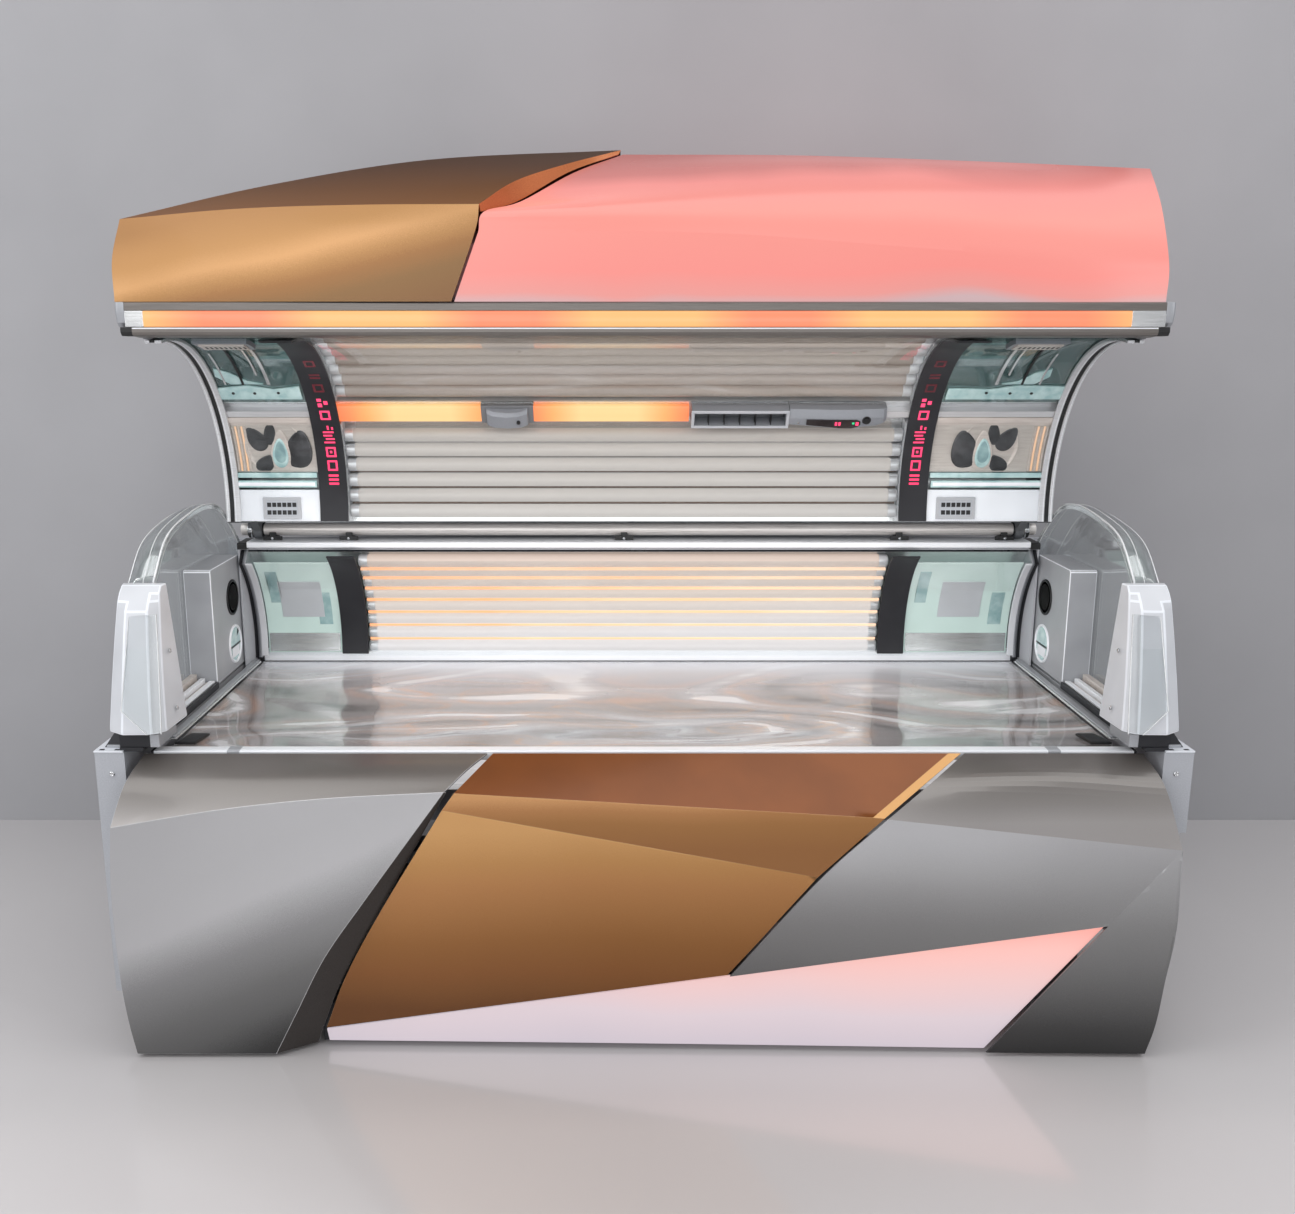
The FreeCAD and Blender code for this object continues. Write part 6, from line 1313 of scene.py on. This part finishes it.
def make_bench_back():
    """Sheets on the bed's back, each folded over the slope, with louvres, fan guards of wire, and screws."""
    form = Form()
    spans = ((-1176, -392), (-388, 388), (392, 1176))
    for x0, x1 in spans:
        outline = [(y + 1.6, z) for y, z in COVER_LINE[1:]] + [(y - 0.5, z) for y, z in COVER_LINE[:0:-1]]
        outline = [(561.6, 654)] + outline + [(559.5, 654)]
        form.prism(outline, x0, x1)
        form.block(x0, x1, 559.5, 561.6, 118, 386)
    form.block(-386, 386, 559.5, 561.6, 390, 650)
    for x0, x1 in ((-1176, -652), (652, 1176)):
        form.block(x0, x1, 559.5, 561.6, 390, 650)
    form.made("back_sheets", "bench", [POWDER_WHITE], [], 0.9, 40)
    form = Form()
    for centre in (-780, 780, 0):
        for row in range(12):
            z = 690 + 9.5 * row if centre else 410 + 18 * row
            form.prism([(561, z), (566, z + 1), (567, z + 2.5), (561, z + 8)], centre - 120, centre + 120)
            form.block(centre - 118, centre + 118, 561.2, 562.2, z - 2.2, z, 1)
    for x0, x1 in spans:
        for x in (x0 + 16, x0 + 260, x1 - 260, x1 - 16):
            for z in (134, 370, 670, 800):
                form.turned([(0, 5.5), (2, 5.5), (3.2, 4), (2.4, 2.2), (2.4, 0.4)], (x, 561, z), (0, 1, 0), 14, 2)
    form.made("back_louvres", "bench", [POWDER_WHITE, BLACK_ABS, CHROME], [], 0.4, 40)
    form = Form()
    for centre in FANS_AT:
        for radius in (14, 34, 54, 74, 94, 112):
            ring = [(0, radius - 1.6), (1.6, radius), (0, radius + 1.6), (-1.6, radius)]
            rings = [
                [tuple(Vector((centre + r * math.cos(a), 565 + h, FAN_HEIGHT + r * math.sin(a)))) for h, r in ring]
                for a in [2 * math.pi * i / 40 for i in range(41)]]
            form.loft(rings, 0, False)
        for turn in range(4):
            a = math.pi * (turn + 0.5) / 2
            tip = (centre + 118 * math.cos(a), FAN_HEIGHT + 118 * math.sin(a))
            tail = (centre + 12 * math.cos(a), FAN_HEIGHT + 12 * math.sin(a))
            aside = (1.8 * -math.sin(a), 1.8 * math.cos(a))
            form.loft([
                [(x + aside[0] * s, y, z + aside[1] * s)
                 for s, y in ((-1, 562.4), (1, 562.4), (1, 565.4), (-1, 565.4))] for x, z in (tail, tip)])
            form.turned([(0, 5), (4, 5), (5, 3.4), (4, 0.5)], (tip[0], 561, tip[1]), (0, 1, 0), 14)
    form.made("fan_guards", "bench", [CHROME])


def make_side_details(side, sign):
    """On each end panel: a flat cover sheet with a shadow gap, an air grille low at the back, and screws."""
    form = Form()
    form.aside(sign, 1219, 1221.4, -470, 546, 126, 676)
    for row in range(9):
        z = 168 + 14 * row
        form.aside(sign, 1221, 1221.9, 250, 470, z, z + 6, 1)
        form.aside(sign, 1221, 1224, 250, 470, z + 6, z + 8)
    for y in (-452, 40, 528):
        for z in (144, 400, 658):
            form.turned(
                [(0, 5.5), (1.6, 5.5), (2.6, 4), (1.8, 2.2), (1.8, 0.4)], (sign * 1221, y, z), (sign, 0, 0), 14, 2)
    form.made("side_sheet_" + side, "bench", [POWDER_WHITE, BLACK_ABS, CHROME], [], 0.7, 40)


# ---------------------------------------------------------------- front edge of the canopy
def make_canopy_front():
    form = Form()
    band_line = [
        (-445, 1646), (-444, 1645), (-441, 1645), (-441, 1659), (-402, 1660), (-402, 1663), (-441, 1663),
        (-444, 1661.5), (-445, 1659)]
    form.prism(band_line, -1118, 1118)
    for x0, x1 in ((-1118, -1078.4), (1045.4, 1118)):
        form.block(x0, x1, -444.4, -436.3, 1611.3, 1645, 2)
    for sign in (-1, 1):
        rings = []
        for x, pull in ((1118, 0), (1128, 0), (1135, 2), (1139, 6), (1140, 12)):
            rings.append(
                [(sign * x, -445 + pull, 1663 - pull * 0.2), (sign * x, -445.5 + pull, 1640),
                (sign * x, -440 + pull, 1620), (sign * x, -426 + pull * 0.4, 1611.3), (sign * x, -402, 1611.3),
                (sign * x, -402, 1663 - pull * 0.2)])
        form.loft(rings, 1)
    form.made(
        "fascia_profile", "canopy", [GREY_ALUMINIUM, SILVER_ABS, REFLECTOR], ["fascia"], 1.0, 25)

    form = Form()
    lip = [
        (-442, 1611), (-444, 1607), (-444, 1600), (-441, 1594), (-436, 1591.5), (-401, 1588), (-401, 1591),
        (-433, 1595), (-438, 1600), (-438, 1608), (-401, 1608), (-401, 1611)]
    form.prism(lip, -1105, 1105)
    form.prism([(-443.6, 1609.6), (-444.6, 1609), (-444.6, 1607), (-443.6, 1606.4)], -1104, 1104, 1)
    for sign in (-1, 1):
        a, b = sorted((sign * 1105.3, sign * 1130))
        form.prism([(-443, 1610.6), (-443, 1600), (-437, 1592), (-403, 1591), (-403, 1610.6)], a, b, 2)
    form.made(
        "canopy_lip_profile", "canopy", [GREY_ALUMINIUM, WHITE_ALUMINIUM, BLACK_ABS],
        ["canopy_lip"], 1.0, 25)


# ---------------------------------------------------------------- bed pane
def make_bed_pane():
    """Dished acrylic: the body's hollow, slow waves left by forming, and a rolled flat rim."""
    rows = []
    columns, lines = 150, 64
    for j in range(lines + 1):
        v = j / lines
        row = []
        for i in range(columns + 1):
            u = i / columns
            ends = math.sin(math.pi * u) ** 0.5 if 0 < u < 1 else 0.0
            swell = 0.82 + 0.18 * math.cos(2 * math.pi * 2.5 * (u - 0.5))
            dish = math.sin(math.pi * v) ** 1.4 if 0 < v < 1 else 0.0
            x, y = -1079.5 + 2159 * u, -479.6 + 764.2 * v
            wave = 1.5 * math.sin(x / 61 + 2.1 * math.sin(y / 90))
            wave += 1.2 * math.sin(y / 37 + 1.6 * math.sin(x / 130))
            wave += 0.9 * math.sin((x + y) / 47) * math.sin((x - 1.7 * y) / 83)
            fade = min(1, 6 * v, 6 * (1 - v), 14 * u, 14 * (1 - u))
            row.append((x, y, 673.8 - 42 * dish * swell * ends - 1.8 * fade + wave * fade))
        rows.append(row)
    form = Form()
    form.sheet(rows)
    form.made("bed_pane_formed", "bench", [BED_ACRYLIC_PAINTED_REFLECTIONS], ["bed_pane"], 0, 30, 2, 6, (0, 0, 1))


SIDES = (("left", -1), ("right", 1))
for make in (make_dome, make_front_pillar, make_rear_pillar, make_ledge, make_column_fittings):
    for side, sign in SIDES:
        make(side, sign)
make_rails()
make_wall_zone("left", -1062, -851)
make_wall_zone("right", 766, 1062)
make_hinge()
make_hood_back()
make_bench_back()
for side, sign in SIDES:
    make_side_details(side, sign)
make_canopy_front()
make_bed_pane()
